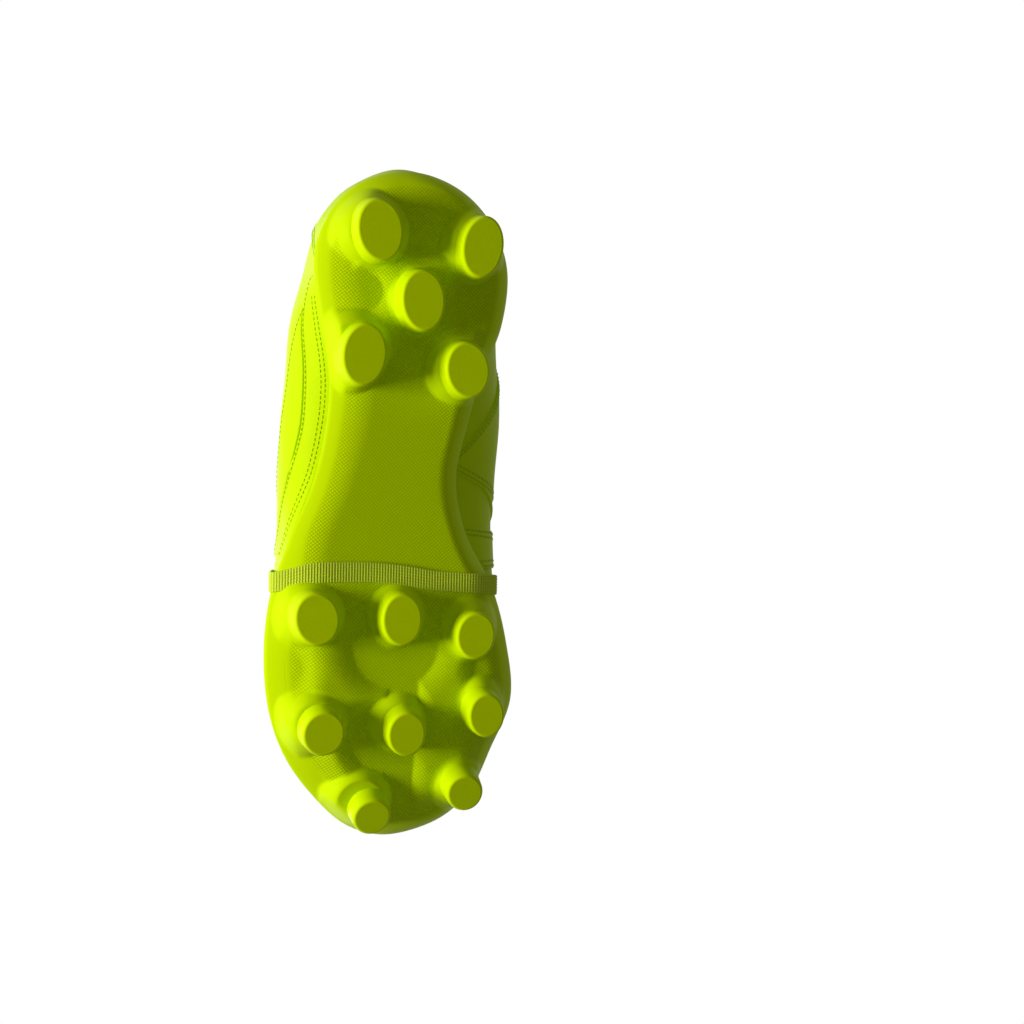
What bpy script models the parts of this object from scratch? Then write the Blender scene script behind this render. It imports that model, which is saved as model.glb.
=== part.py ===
"""Soccer cleat: a left moulded-stud football boot with a fold-over tongue.

The boot stands on its studs at z = 0 with its toe towards +X and its outer
(lateral) side towards +Y.  Sizes are in millimetres and are turned into metres
where meshes are made.

The outline is followed by a station number t that runs from 0 at the back of
the heel to TOE at the tip of the toe.  A place round the boot is u: u = t on
the lateral side and u = LAPS - t on the medial side, so u runs once round the
boot.  A height on the upper is v: 0 at the sole and 1 at the top line, the lace
edge or the ridge of the vamp.
"""
import math

import bmesh
import bpy
import numpy as np
from mathutils import Matrix, Vector

MM = 0.001
CENTRE = (-1.65, 1.3)         # moves the middle of the outline box to x = y = 0
GAP = 0.35                    # clearance between pieces that touch

# Sole
STUD_HEIGHT = 14.0            # ground to the flat of the sole plate
PLATE = 4.0
FLARE_ROOT = 3.2
FLARE_HEIGHT = 5.0            # part of a stud that is moulded with the plate
ARCH_RISE = 2.5               # lift of the waist of the plate
SPRING_START = 60.0           # x where the toe spring begins
SPRING_RATE = 0.0023          # toe spring, mm per mm squared
RIM_LAND = (0.6, 7.9)         # flat top of the rim, distances inside the outline
# Rounding of the sole's underside: distance inside the outline, share of the rim's height
SOLE_EDGE = [(15.0, 0.0), (11.0, 0.07), (7.5, 0.22), (4.0, 0.46), (1.4, 0.7), (0.0, 0.88),
             (0.6, 1.0)]
INSOLE_INSET = 8.9
BOARD = 1.2
SOCKLINER = 4.0
SOCKLINER_HINGE_X = 140.0     # it is lifted out by its heel and turns at the toe
SHANK = (102.0, 14.0, 1.1)

# Upper, depths below the outer leather
FEATHER_INSET = 2.4
LEATHER = 1.5
OVERLAY = 1.0
OVERLAY_DEPTH = -1.9
STIFFENER_DEPTH = 2.8
STIFFENER = 0.9
LINING_DEPTH = 4.3
LINING = 0.9
TOE_LINING_DROP = 2.2         # how much deeper the lining lies behind the toe puff
COLLAR_PAD = 4.4
TONGUE_DEPTH = 6.7
FLAP_DEPTH = -7.6             # over the laces
FLAP_LIFT = 3.4               # extra rise over the elastic strap
FULLNESS = 1.35               # roundness of the sections over the foot

# Lacing
EYELET_ROWS = 6
EYELET = 4.4
LACE = 2.8

# Elastic strap round the forefoot
STRAP_X = 29.2
STRAP_WIDTH = 9.1
STRAP = 1.2
STRAP_BOW = [(-54, 6.6), (-34, 5.2), (-20, 4.2), (-8, 2.2), (2, 0.9), (12, 0.2), (30, 0.2),
             (38, 0.9), (46, 3.2), (54, 4.8)]   # how far it lies ahead of STRAP_X at each y
STRAP_LEAN = 0.08             # how far it leans to the toe for each mm that it rises
STRAP_TOP_LEAN = (48.0, 0.3)  # height where it starts to lean more, and how much more
STRAP_SLACK = 0.5             # how far it stands off what it is pulled over

TOE = 16
LAPS = 2 * TOE

# Outline of the sole at its rim: heel, stations 1 to 15 of a side, toe
HEEL_TIP = (-147.3, -6.0)
TOE_TIP = (151.8, -6.0)
RIM_LATERAL = [(-143.4, 12), (-134.1, 25.1), (-118.8, 34.3), (-103, 36.5), (-80, 33),
               (-55, 29.3), (-30, 31), (-8, 36), (18, 46.5), (40.1, 53.8), (66, 56.1),
               (92.1, 53), (114.3, 44), (133.8, 28.8), (146.9, 13)]
RIM_MEDIAL = [(-143.9, -22.3), (-135.2, -36.2), (-121.4, -46.7), (-103, -52), (-79.9, -49.2),
              (-58.2, -40.5), (-35, -34), (-10, -30), (14, -35.5), (38.2, -48.1),
              (62.2, -55.1), (88, -58.3), (111.4, -50.4), (131.6, -42.4), (145.4, -28.1)]

# Widest line of the upper
WIDE_HEEL = (-149.2, -6.0)
WIDE_TOE = (149.0, -6.0)
WIDE_LATERAL = [(-141.7, 11.9), (-131.1, 22.6), (-117.5, 29.9), (-101.4, 34.1),
                (-79.5, 40.1), (-55.7, 41.7), (-31.9, 43.8), (-9.9, 44.8), (14.1, 45.5),
                (36, 48.6), (61, 51.6), (87, 49.2), (110, 41), (130, 27.5), (143.6, 12.3)]
WIDE_MEDIAL = [(-142.8, -22.9), (-132.9, -35.3), (-118.5, -44.8), (-101.5, -49.8),
               (-79.9, -51.4), (-57.9, -53.6), (-35, -54.4), (-11, -53.4), (12, -52.6),
               (35, -52.8), (59, -53.5), (85, -54), (109, -47.8), (129, -39.4), (142.4, -26.5)]
WIDE_HEIGHT = [(-150, 50), (-60, 48), (0, 47), (40, 42), (80, 40), (110, 42.5), (135, 45),
               (152, 47)]

# Top line by station: x, height, middle and half width
TOP_X = [-143, -139.5, -131, -118, -101, -80, -60, -45, -20, 4, 27, 46, 68, 92, 112, 127, 134]
TOP_Z = [95, 94, 91, 84.5, 78, 77.5, 86, 98, 90, 80.5, 72, 65.5, 60, 56.5, 54.5, 53.5, 53]
TOP_MIDDLE = [-6, -6, -6, -6, -6, -5.5, -5, -4.5, -4, -3.5, -3, -2.5, -2.5, -3, -4, -5, -6]
TOP_HALF = [0, 12, 20.5, 27, 31, 32, 29, 20, 16.5, 13.5, 10.5]
THROAT = 11                   # station where the lace opening closes
TOP_LEAN = [(0, 88), (4, 85), (6, 70), (7, 55), (8, 42), (9, 36), (10, 25), (11, 0), (16, 0)]

# Studs: x, y of the axis at the ground, half width, half length, turn in degrees
HEEL_STUDS = [(-119.8, 12.2, 10.2, 13.6, -9), (-114.2, -34.0, 9.4, 13.6, 9),
              (-90.1, -7.6, 9.8, 13.4, -5), (-66.0, 18.2, 9.9, 13.6, 6),
              (-60.3, -28.3, 9.9, 12.4, -9)]
FORE_STUDS = [(48.7, 37.2, 9.9, 11.6, -12), (49.2, -0.7, 9.0, 11.5, 0),
              (56.7, -34.4, 8.9, 10.4, 6), (99.2, 32.7, 9.4, 10.2, 0),
              (100.3, -4.6, 8.6, 10.3, -5), (92.6, -40.7, 8.2, 10.2, -8),
              (138.5, 8.1, 8.6, 8.8, 0), (128.5, -33.6, 8.2, 9.0, -20)]
FLARE_SPREAD = (1.1, 2.6)     # how much wider the flare is at its top and its root
TIP_TAPER = 0.8               # how much wider a tip is at its root

NEON = (0.62, 0.93, 0.005, 1.0)
NEON_LEATHER = (0.50, 0.88, 0.01, 1.0)
NEON_TEXTILE = (0.66, 0.92, 0.06, 1.0)
PALE_FOAM = (0.80, 0.85, 0.60, 1.0)
GREY_BOARD = (0.45, 0.45, 0.42, 1.0)
STEEL = (0.55, 0.56, 0.58, 1.0)


# ---------------------------------------------------------------- curves

def spline(points, u, closed=False):
    """Point number u of a smooth curve that passes through every point."""
    p = np.asarray(points, float)
    n = len(p)
    if closed:
        i = math.floor(u)
        a, b, c, d = (p[(i + j) % n] for j in (-1, 0, 1, 2))
    else:
        i = min(max(math.floor(u), 0), n - 2)
        a, b, c, d = p[max(i - 1, 0)], p[i], p[i + 1], p[min(i + 2, n - 1)]
    f = u - i
    return 0.5 * (2 * b + (c - a) * f + (2 * a - 5 * b + 4 * c - d) * f ** 2
                  + (3 * b - a - 3 * c + d) * f ** 3)


def table(pairs, x):
    """Value at x of a table of (x, value) pairs, eased between them."""
    xs = [pair[0] for pair in pairs]
    place = np.interp(x, xs, range(len(xs)))
    return float(spline([pair[1] for pair in pairs], place))


def smoothstep(x):
    x = min(max(x, 0.0), 1.0)
    return x * x * (3 - 2 * x)


def hermite(a, b, leave, arrive, f):
    """Cubic from a to b with the given end tangents."""
    return ((2 * f ** 3 - 3 * f ** 2 + 1) * a + (f ** 3 - 2 * f ** 2 + f) * leave
            + (3 * f ** 2 - 2 * f ** 3) * b + (f ** 3 - f ** 2) * arrive)


def closed_outline(heel, lateral, toe, medial):
    return [heel] + lateral + [toe] + medial[::-1]


RIM = closed_outline(HEEL_TIP, RIM_LATERAL, TOE_TIP, RIM_MEDIAL)
WIDEST = closed_outline(WIDE_HEEL, WIDE_LATERAL, WIDE_TOE, WIDE_MEDIAL)


def station(u):
    """Station number of a place round the boot."""
    u = u % LAPS
    return min(u, LAPS - u)


def side_of(u):
    return 1.0 if u % LAPS <= TOE else -1.0


# ---------------------------------------------------------------- sole heights

def plate_z(x):
    """Underside of the sole plate."""
    arch = ARCH_RISE * smoothstep((x + 45) / 30) * smoothstep((34 - x) / 30)
    spring = SPRING_RATE * max(x - SPRING_START, 0.0) ** 2
    return STUD_HEIGHT + arch + spring


def plate_slope(x):
    return (plate_z(x + 0.5) - plate_z(x - 0.5))


def rim_z(x):
    """Top of the sole's rim."""
    return plate_z(x) + table([(-150, 9.5), (-90, 8.5), (-50, 6.8), (0, 6.8), (40, 9),
                               (80, 10), (120, 9), (153, 8)], x)


def rim_point(u, inset):
    """Point of the sole outline, moved inwards by inset."""
    x, y = spline(RIM, u, closed=True)
    ahead = spline(RIM, u + 0.05, closed=True) - spline(RIM, u - 0.05, closed=True)
    ahead /= np.linalg.norm(ahead)
    return np.array([x + ahead[1] * inset, y - ahead[0] * inset])


def spine_point(u):
    """Middle line of the sole, which stops short of the heel and the toe."""
    t = min(max(station(u), 3.0), TOE - 3.0)
    return (spline(RIM, t, closed=True) + spline(RIM, LAPS - t, closed=True)) / 2


# ---------------------------------------------------------------- upper surface

def feather(u):
    x, y = rim_point(u, FEATHER_INSET)
    return np.array([x, y, rim_z(x) + 2 * GAP])


def widest(u):
    x, y = spline(WIDEST, u, closed=True)
    return np.array([x, y, table(WIDE_HEIGHT, x)])


def top_half(t):
    if t >= THROAT:
        return 0.0
    last = THROAT - 1
    if t > last:
        return TOP_HALF[last] * math.sqrt(max(0.0, 1 - (t - last) ** 2))
    return float(spline([-TOP_HALF[1]] + TOP_HALF, t + 1))


def top(u):
    t = station(u)
    y = float(spline(TOP_MIDDLE, t)) + side_of(u) * top_half(t)
    return np.array([float(spline(TOP_X, t)), y, float(spline(TOP_Z, t))])


def top_tangent(u, reach, rise):
    """Direction of the section where it reaches the top line."""
    lean = math.radians(table(TOP_LEAN, station(u)))
    tangent = reach * math.cos(lean)
    tangent[2] = rise * math.sin(lean)
    return tangent


WAIST_V = 0.42                # v of the widest line


def skin(u, v):
    """Outer face of the leather upper."""
    low, wide, high = feather(u), widest(u), top(u)
    if v <= WAIST_V:
        leave = (wide - low) * np.array([1.6, 1.6, 0.6])
        arrive = np.array([0, 0, (wide[2] - low[2]) * 1.1])
        return hermite(low, wide, leave, arrive, v / WAIST_V)
    reach = (high - wide) * np.array([1, 1, 0])
    rise = high[2] - wide[2]
    leave = np.array([0, 0, rise * FULLNESS])
    arrive = FULLNESS * top_tangent(u, reach, rise)
    return hermite(wide, high, leave, arrive, (v - WAIST_V) / (1 - WAIST_V))


def skin_normal(u, v):
    du, dv = 0.04, 0.01
    along = skin(u + du, v) - skin(u - du, v)
    up = skin(u, min(v + dv, 1.0)) - skin(u, max(v - dv, 0.0))
    normal = np.cross(up, along)
    normal[2] *= smoothstep(v / 0.2)
    size = np.linalg.norm(normal)
    return normal / size if size > 1e-9 else np.array([0.0, 0.0, 1.0])


def upper(u, v, depth):
    """Point of the upper at a depth below its outer face."""
    normal = skin_normal(u, v)
    if v > 0.999 and station(u) >= THROAT:
        normal = normal + skin_normal(LAPS - u, v)
        normal /= np.linalg.norm(normal)
    return skin(u, v) - normal * depth


def across(t, depth, half, count):
    """Row of points over the instep at station t, centred on the throat."""
    def section(at):
        rise_points = [skin(at, v) for v in np.linspace(0.5, 1, 16)]
        fall_points = [skin(LAPS - at, v) for v in np.linspace(1, 0.5, 16)]
        a, b = rise_points[-1], fall_points[0]
        gap = np.linalg.norm(b - a)
        bridge = []
        if gap > 0.5:
            leave = rise_points[-1] - rise_points[-2]
            arrive = fall_points[1] - fall_points[0]
            leave *= 0.9 * gap / np.linalg.norm(leave)
            arrive *= 0.9 * gap / np.linalg.norm(arrive)
            bridge = [hermite(a, b, leave, arrive, f) for f in np.linspace(0, 1, 10)[1:-1]]
        points = np.array(rise_points + bridge + fall_points)
        run = np.concatenate([[0], np.cumsum(np.linalg.norm(np.diff(points, axis=0), axis=1))])
        keep = np.concatenate([[True], np.diff(run) > 1e-6])
        return points[keep], run[keep] - run[-1] / 2

    def at(here, place):
        points, run = here
        return np.array([np.interp(place, run, points[:, i]) for i in range(3)])

    ahead, behind, here = section(t + 0.1), section(t - 0.1), section(t)
    row = []
    for place in np.linspace(-half, half, count):
        along = at(ahead, place) - at(behind, place)
        over = at(here, place + 1) - at(here, place - 1)
        normal = np.cross(over, along)
        normal /= np.linalg.norm(normal)
        row.append(at(here, place) - normal * depth)
    return np.array(row)


# ---------------------------------------------------------------- mesh making

def new_material(name, colour, roughness, metallic=0.0):
    material = bpy.data.materials.new(name)
    material.use_nodes = True
    shader = material.node_tree.nodes["Principled BSDF"]
    shader.inputs["Base Color"].default_value = colour
    shader.inputs["Roughness"].default_value = roughness
    shader.inputs["Metallic"].default_value = metallic
    material.diffuse_color = colour
    return material


def to_world(point):
    return ((point[0] + CENTRE[0]) * MM, (point[1] + CENTRE[1]) * MM, point[2] * MM)


def new_object(name, bm, look, collection):
    """Object made from a bmesh in world metres, with its own material."""
    mesh = bpy.data.meshes.new(name)
    bm.to_mesh(mesh)
    bm.free()
    mesh.shade_smooth()
    mesh.set_sharp_from_angle(angle=math.radians(40))
    mesh.materials.append(new_material(name + "_finish", *look))
    obj = bpy.data.objects.new(name, mesh)
    collection.objects.link(obj)
    return obj


def grid_bmesh(rows, closed=False):
    """Surface through rows of points; the same number of points in each row."""
    bm = bmesh.new()
    grid = [[bm.verts.new(to_world(point)) for point in row] for row in rows]
    count = len(grid[0])
    for low, high in zip(grid, grid[1:]):
        for j in range(count if closed else count - 1):
            k = (j + 1) % count
            bm.faces.new((low[j], high[j], high[k], low[k]))
    bmesh.ops.remove_doubles(bm, verts=bm.verts, dist=1e-6)
    bmesh.ops.dissolve_degenerate(bm, edges=bm.edges, dist=1e-6)
    return bm


def thicken(obj, thickness):
    """Give a sheet its thickness on the inner side."""
    solid = obj.modifiers.new("thickness", "SOLIDIFY")
    solid.thickness = thickness * MM
    solid.offset = -1.0
    return obj


def panel(name, edges, heights, depth, thickness, shape, look, collection):
    """Sheet of the upper.

    edges are the two places u(v) where it starts and stops, heights its lower
    and upper v as functions of the fraction along it, shape its columns and rows.
    """
    columns, rows = shape
    depth_at = depth if callable(depth) else lambda u, v: depth
    grid = []
    for b in np.linspace(0, 1, rows + 1):
        row = []
        for a in np.linspace(0, 1, columns + 1):
            v = heights[0](a) + (heights[1](a) - heights[0](a)) * b
            u = edges[0](v) + (edges[1](v) - edges[0](v)) * a
            row.append(upper(u, v, depth_at(u, v)))
        grid.append(row)
    return thicken(new_object(name, grid_bmesh(grid), look, collection), thickness)


def always(value):
    return lambda _: value


def slab(name, inset, low, high, look, collection, columns=48):
    """Plate inside the sole outline between two heights that follow x."""
    places = np.arange(columns) * LAPS / columns
    outer = [rim_point(u, inset) for u in places]
    middle = [(rim_point(u, inset) + spine_point(u)) / 2 for u in places]
    spine = [spine_point(u) for u in places]
    loops = [(spine, low), (middle, low), (outer, low), (outer, high), (middle, high),
             (spine, high)]
    rows = [[(x, y, height(x)) for x, y in loop] for loop, height in loops]
    return new_object(name, grid_bmesh(rows, closed=True), look, collection)


# ---------------------------------------------------------------- sole

def outsole_shell(collection):
    """Sole plate with its rounded wall and the land that the upper stands on."""
    places = np.arange(64) * LAPS / 64

    def loop(inset, height):
        return [(x, y, height(x)) for x, y in (rim_point(u, inset) for u in places)]

    def middle(share, height):
        points = [spine_point(u) * (1 - share) + rim_point(u, SOLE_EDGE[0][0]) * share
                  for u in places]
        return [(x, y, height(x)) for x, y in points]

    def wall(share):
        return lambda x: plate_z(x) + (rim_z(x) - plate_z(x)) * share

    rows = [middle(0, plate_z), middle(0.5, plate_z)]
    rows += [loop(inset, wall(share)) for inset, share in SOLE_EDGE]
    rows += [loop(RIM_LAND[1], rim_z), loop(RIM_LAND[1] + 0.2, lambda x: plate_z(x) + PLATE),
             middle(0.5, lambda x: plate_z(x) + PLATE), middle(0, lambda x: plate_z(x) + PLATE)]
    return new_object("outsole", grid_bmesh(rows, closed=True), (NEON, 0.42), collection)


def stud_matrix(stud):
    """Place of a stud: z = 0 on the plate and z pointing to the ground."""
    x, y, _, _, turn = stud
    slope = plate_slope(x)
    axis = np.array([slope, 0, -1.0]) / math.hypot(slope, 1)
    root = np.array([x, y, plate_z(x)]) - np.array([axis[0], 0, 0]) * STUD_HEIGHT
    root[2] = plate_z(root[0])
    tilt = Matrix.Rotation(math.atan2(-axis[0], -axis[2]), 4, "Y")
    flip = Matrix.Rotation(math.pi, 4, "X")
    spin = Matrix.Rotation(math.radians(turn), 4, "Z")
    return Matrix.Translation(Vector(to_world(root))) @ tilt @ spin @ flip


def oval_frustum(stud, low, high, grow_low, grow_high, segments=20):
    """Oval cone of a stud between two heights, grown by the given amounts."""
    _, _, half_width, half_length, _ = stud
    bm = bmesh.new()
    bmesh.ops.create_cone(bm, cap_ends=True, segments=segments, radius1=1, radius2=1, depth=2)
    for vert in bm.verts:
        grow, height = (grow_low, low) if vert.co.z < 0 else (grow_high, high)
        vert.co.x *= (half_length + grow) * MM
        vert.co.y *= (half_width + grow) * MM
        vert.co.z = height * MM
    bmesh.ops.transform(bm, matrix=stud_matrix(stud), verts=bm.verts)
    return bm


def add_flares(outsole, studs, cutters):
    """Join the moulded foot of each stud to the sole plate."""
    for number, stud in enumerate(studs):
        bm = oval_frustum(stud, -FLARE_ROOT, FLARE_HEIGHT, FLARE_SPREAD[1], FLARE_SPREAD[0])
        flare = new_object(f"flare_{number}", bm, (NEON, 0.4), cutters)
        flare.hide_render = True
        flare.display_type = "WIRE"
        join = outsole.modifiers.new(f"flare_{number}", "BOOLEAN")
        join.operation = "UNION"
        join.object = flare


def stud_tips(collection):
    for group, studs in (("heel", HEEL_STUDS), ("fore", FORE_STUDS)):
        for number, stud in enumerate(studs, start=1):
            bm = oval_frustum(stud, FLARE_HEIGHT + GAP, STUD_HEIGHT, TIP_TAPER, 0.0, segments=16)
            new_object(f"stud_tip_{group}_{number}", bm, (NEON, 0.35), collection)


def sole_stack(collection):
    """Foam wedge, shank, insole board and sockliner inside the rim."""
    def above_rim(rise):
        return lambda x: rim_z(x) + rise

    wedge_top = 1.5                 # below the rim, which leaves room for the shank
    slab("midsole_wedge", INSOLE_INSET, lambda x: plate_z(x) + PLATE + 2 * GAP,
         above_rim(-wedge_top), (PALE_FOAM, 0.8), collection)
    slab("insole_board", INSOLE_INSET, above_rim(GAP), above_rim(GAP + BOARD),
         (GREY_BOARD, 0.85), collection)
    bottom = 2 * GAP + BOARD
    sockliner = slab("sockliner", INSOLE_INSET + 3.2, above_rim(bottom),
                     above_rim(bottom + SOCKLINER), (NEON_TEXTILE, 0.9), collection)
    place_origin(sockliner, (SOCKLINER_HINGE_X, 0.0, rim_z(SOCKLINER_HINGE_X) + bottom))
    length, width, thick = SHANK
    rows = []
    for x in np.linspace(-length * 0.72, length * 0.28, 13):
        z = rim_z(x) - wedge_top + GAP + thick
        rows.append([(x, -5.5 - width / 2, z), (x, -5.5 + width / 2, z)])
    thicken(new_object("shank", grid_bmesh(rows), (STEEL, 0.35, 1.0), collection), thick)


# ---------------------------------------------------------------- upper panels

def seam_lateral(v):
    """Front edge of the lateral quarter: from the waist up and forward."""
    return 6.6 + 4.2 * v ** 0.9


def seam_medial(v):
    return 7.6 + 3.2 * v ** 1.1


def upper_panels(collection):
    leather = (NEON_LEATHER, 0.42)
    step = 0.06                     # seam clearance between panels, in stations
    low, high = always(0.0), always(1.0)
    panel("vamp", (lambda v: seam_lateral(v) + step, lambda v: LAPS - seam_medial(v) - step),
          (low, high), 0.0, LEATHER, (26, 8), leather, collection)
    panel("quarter_lateral", (always(0.06), lambda v: seam_lateral(v) - step), (low, high),
          0.0, LEATHER, (17, 7), leather, collection)
    panel("quarter_medial", (lambda v: LAPS - seam_medial(v) + step, always(LAPS - 0.06)),
          (low, high), 0.0, LEATHER, (17, 7), leather, collection)
    panel("heel_cap", (lambda v: LAPS - 3.9 + 2.2 * v, lambda v: LAPS + 3.9 - 2.2 * v),
          (always(0.02), always(0.86)), OVERLAY_DEPTH, OVERLAY, (18, 7), leather, collection)
    panel("eyestay_lateral", (always(6.75), always(9.95)), (always(0.8), always(0.985)),
          OVERLAY_DEPTH, OVERLAY, (12, 3), leather, collection)
    panel("eyestay_medial", (always(LAPS - 10.1), always(LAPS - 6.75)),
          (always(0.8), always(0.985)), OVERLAY_DEPTH, OVERLAY, (12, 3), leather, collection)


HEM_LINE = [(4, 0.05), (7.5, 0.06), (9.6, 0.11)]
MIDDLE_LINE = [(4, 0.09), (4.5, 0.13), (5.2, 0.20), (6.8, 0.21), (7.8, 0.27), (8.6, 0.36),
               (9.6, 0.50)]
UPPER_LINE = [(4, 0.12), (4.6, 0.22), (5.4, 0.33), (6.7, 0.38), (7.9, 0.46), (9.6, 0.66)]


def side_bands(collection):
    """Overlays stitched on the quarters: two swept bands outside, two rays inside."""
    leather = (NEON_LEATHER, 0.4)
    start, stop, edge = 4.1, 9.5, 0.012

    def line(heights, shift):
        return lambda a: table(heights, start + (stop - start) * a) + shift

    bands = ((HEM_LINE, MIDDLE_LINE), (MIDDLE_LINE, UPPER_LINE))
    for number, (low, high) in enumerate(bands, start=1):
        panel(f"side_band_lateral_{number}", (always(start), always(stop)),
              (line(low, edge), line(high, -edge)), OVERLAY_DEPTH, OVERLAY, (16, 2), leather,
              collection)
    panel("side_panel_medial",
          (lambda v: LAPS - 7.8 - 1.7 * v, lambda v: LAPS - 7.5 + 4.0 * v),
          (always(0.04), always(0.77)), OVERLAY_DEPTH, OVERLAY, (8, 7), leather, collection)
    panel("side_band_medial",
          (lambda v: LAPS - 9.6 - 0.5 * v, lambda v: LAPS - 8.8 - 0.7 * v),
          (always(0.04), always(0.77)), OVERLAY_DEPTH, OVERLAY, (4, 7), leather, collection)


def lining_depth(u, v):
    """The lining follows the leather and passes behind the collar pad."""
    collar = smoothstep((8.2 - station(u)) / 1.0) * smoothstep((v - 0.42) / 0.16)
    return LINING_DEPTH + collar * (COLLAR_PAD - 1.0)


def toe_lining_depth(u, v):
    """The front lining passes behind the toe puff."""
    return LINING_DEPTH + TOE_LINING_DROP * smoothstep(station(u) - 11.6) * smoothstep(v / 0.3)


def inner_layers(collection):
    textile = (NEON_TEXTILE, 0.9)
    panel("toe_puff", (always(12.64), always(LAPS - 12.64)), (always(0.03), always(0.7575)),
          STIFFENER_DEPTH, STIFFENER, (14, 6), (GREY_BOARD, 0.6), collection)
    panel("heel_counter", (always(LAPS - 4.8), always(LAPS + 4.8)), (always(0.03), always(0.58)),
          STIFFENER_DEPTH, STIFFENER, (20, 5), (GREY_BOARD, 0.6), collection)
    panel("collar_foam", (always(LAPS - 6.6), always(LAPS + 6.6)), (always(0.66), always(0.95)),
          STIFFENER_DEPTH, COLLAR_PAD - 0.5, (24, 3), (PALE_FOAM, 0.9), collection)
    panel("quarter_lining", (always(LAPS - 10.0), always(LAPS + 10.0)),
          (always(0.03), lambda a: 0.86 + 0.12 * smoothstep((0.36 - abs(a - 0.5)) / 0.06)),
          lining_depth, LINING, (34, 10), textile, collection)
    panel("vamp_lining", (always(10.24), always(LAPS - 10.24)),
          (always(0.03), lambda a: 0.84 + 0.16 * smoothstep(min(a, 1 - a) / 0.12)),
          toe_lining_depth, LINING, (24, 8), textile, collection)


# ---------------------------------------------------------------- tongue

TONGUE_FRONT = 11.9
TONGUE_BEND = 7.1             # station where the tongue leaves the laces
TONGUE_HALF = 27.0
TONGUE_SLOPE = 20.0
TONGUE_TURN = math.radians(50)
COLLAR_LENGTH = 26.0          # free length of the tongue above the laces
FLAP_FRONT = 11.2
FLAP_HALF = 25.0


def tongue_rows(depth, half, front, count=9):
    """Rows of the tongue from its front end to its free top edge.

    Above the laces the tongue bends up about a line in front of it, so layers
    at different depths stay parallel.
    """
    depth_at = depth if callable(depth) else always(depth)
    half_at = half if callable(half) else always(half)
    stations = front - (front - TONGUE_BEND) * np.linspace(0, 1, 10) ** 1.3
    rows = [across(t, depth_at(t), half_at(t), count) for t in stations]
    radius = COLLAR_LENGTH / TONGUE_TURN
    lean = math.radians(TONGUE_SLOPE)
    pivot = across(TONGUE_BEND, 0, 1, 3)[1]
    pivot = pivot + radius * np.array([math.sin(lean), 0, math.cos(lean)])
    last = rows[-1] - pivot
    for angle in np.linspace(0, TONGUE_TURN, 6)[1:]:
        c, n = math.cos(angle), math.sin(angle)
        turned = np.column_stack([last[:, 0] * c + last[:, 2] * n, last[:, 1],
                                  last[:, 2] * c - last[:, 0] * n])
        rows.append(turned + pivot)
    return rows


def tongue(collection):
    leather = (NEON_LEATHER, 0.45)
    layers = (("tongue_cover", TONGUE_DEPTH, 1.0, leather, 0.0),
              ("tongue_foam", TONGUE_DEPTH + 1.5, 3.0, (PALE_FOAM, 0.9), 1.5),
              ("tongue_lining", TONGUE_DEPTH + 5.0, 0.9, (NEON_TEXTILE, 0.9), 0.0))
    for name, depth, thickness, look, trim in layers:
        rows = tongue_rows(depth, TONGUE_HALF - trim, TONGUE_FRONT)
        thicken(new_object(name, grid_bmesh(rows), look, collection), thickness)


def hinge_point():
    """Middle of the fold between the tongue and its flap."""
    lower = tongue_rows(TONGUE_DEPTH, 10, FLAP_FRONT, count=3)[-1][1]
    upper_row = tongue_rows(FLAP_DEPTH, 10, FLAP_FRONT, count=3)[-1][1]
    return (lower + upper_row) / 2


def flap_depth(t):
    return FLAP_DEPTH - FLAP_LIFT * smoothstep((t - 9.0) / 1.0)


def flap_half(t):
    """The flap narrows to a round front end."""
    return FLAP_HALF - 11 * max(0.0, 1 - (FLAP_FRONT - t) / 1.6) ** 2.2


def round_front(rows, reach=1.65, blend=4):
    """Draw the sides of a sheet's first rows back, so that its front end is round."""
    rows = np.array(rows)
    rounded = rows.copy()
    for i in range(blend):
        for j, side in enumerate(np.linspace(-1, 1, rows.shape[1])):
            place = i + reach * (1 - i / blend) * side ** 2
            low = int(place)
            rounded[i, j] = rows[low, j] * (low + 1 - place) + rows[low + 1, j] * (place - low)
    return rounded


def tongue_flap(collection):
    rows = round_front(tongue_rows(flap_depth, flap_half, FLAP_FRONT))
    flap = thicken(new_object("tongue_flap", grid_bmesh(rows), (NEON_LEATHER, 0.42),
                              collection), 1.6)
    place_origin(flap, hinge_point())


def place_origin(obj, point):
    """Move an object's origin to a point without moving its shape."""
    spot = Vector(to_world(point))
    obj.data.transform(Matrix.Translation(-spot))
    obj.location = spot


# ---------------------------------------------------------------- laces

def eyelet_station(row):
    return 7.35 + row * (9.5 - 7.35) / (EYELET_ROWS - 1)


def eyelet(side, row):
    """Middle of an eyelet on the skin, and the way out through it."""
    t = eyelet_station(row)
    u = t if side > 0 else LAPS - t
    return skin(u, 0.915), skin_normal(u, 0.915)


def tube(name, points, diameter, look, collection, resolution=2):
    """Round cord along points, with closed ends."""
    curve = bpy.data.curves.new(name, "CURVE")
    curve.dimensions = "3D"
    curve.bevel_depth = diameter / 2 * MM
    curve.bevel_resolution = resolution
    curve.use_fill_caps = True
    line = curve.splines.new("POLY")
    line.points.add(len(points) - 1)
    for spot, point in zip(line.points, points):
        spot.co = (*to_world(point), 1.0)
    curve.materials.append(new_material(name + "_finish", *look))
    obj = bpy.data.objects.new(name, curve)
    collection.objects.link(obj)
    return obj


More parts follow.
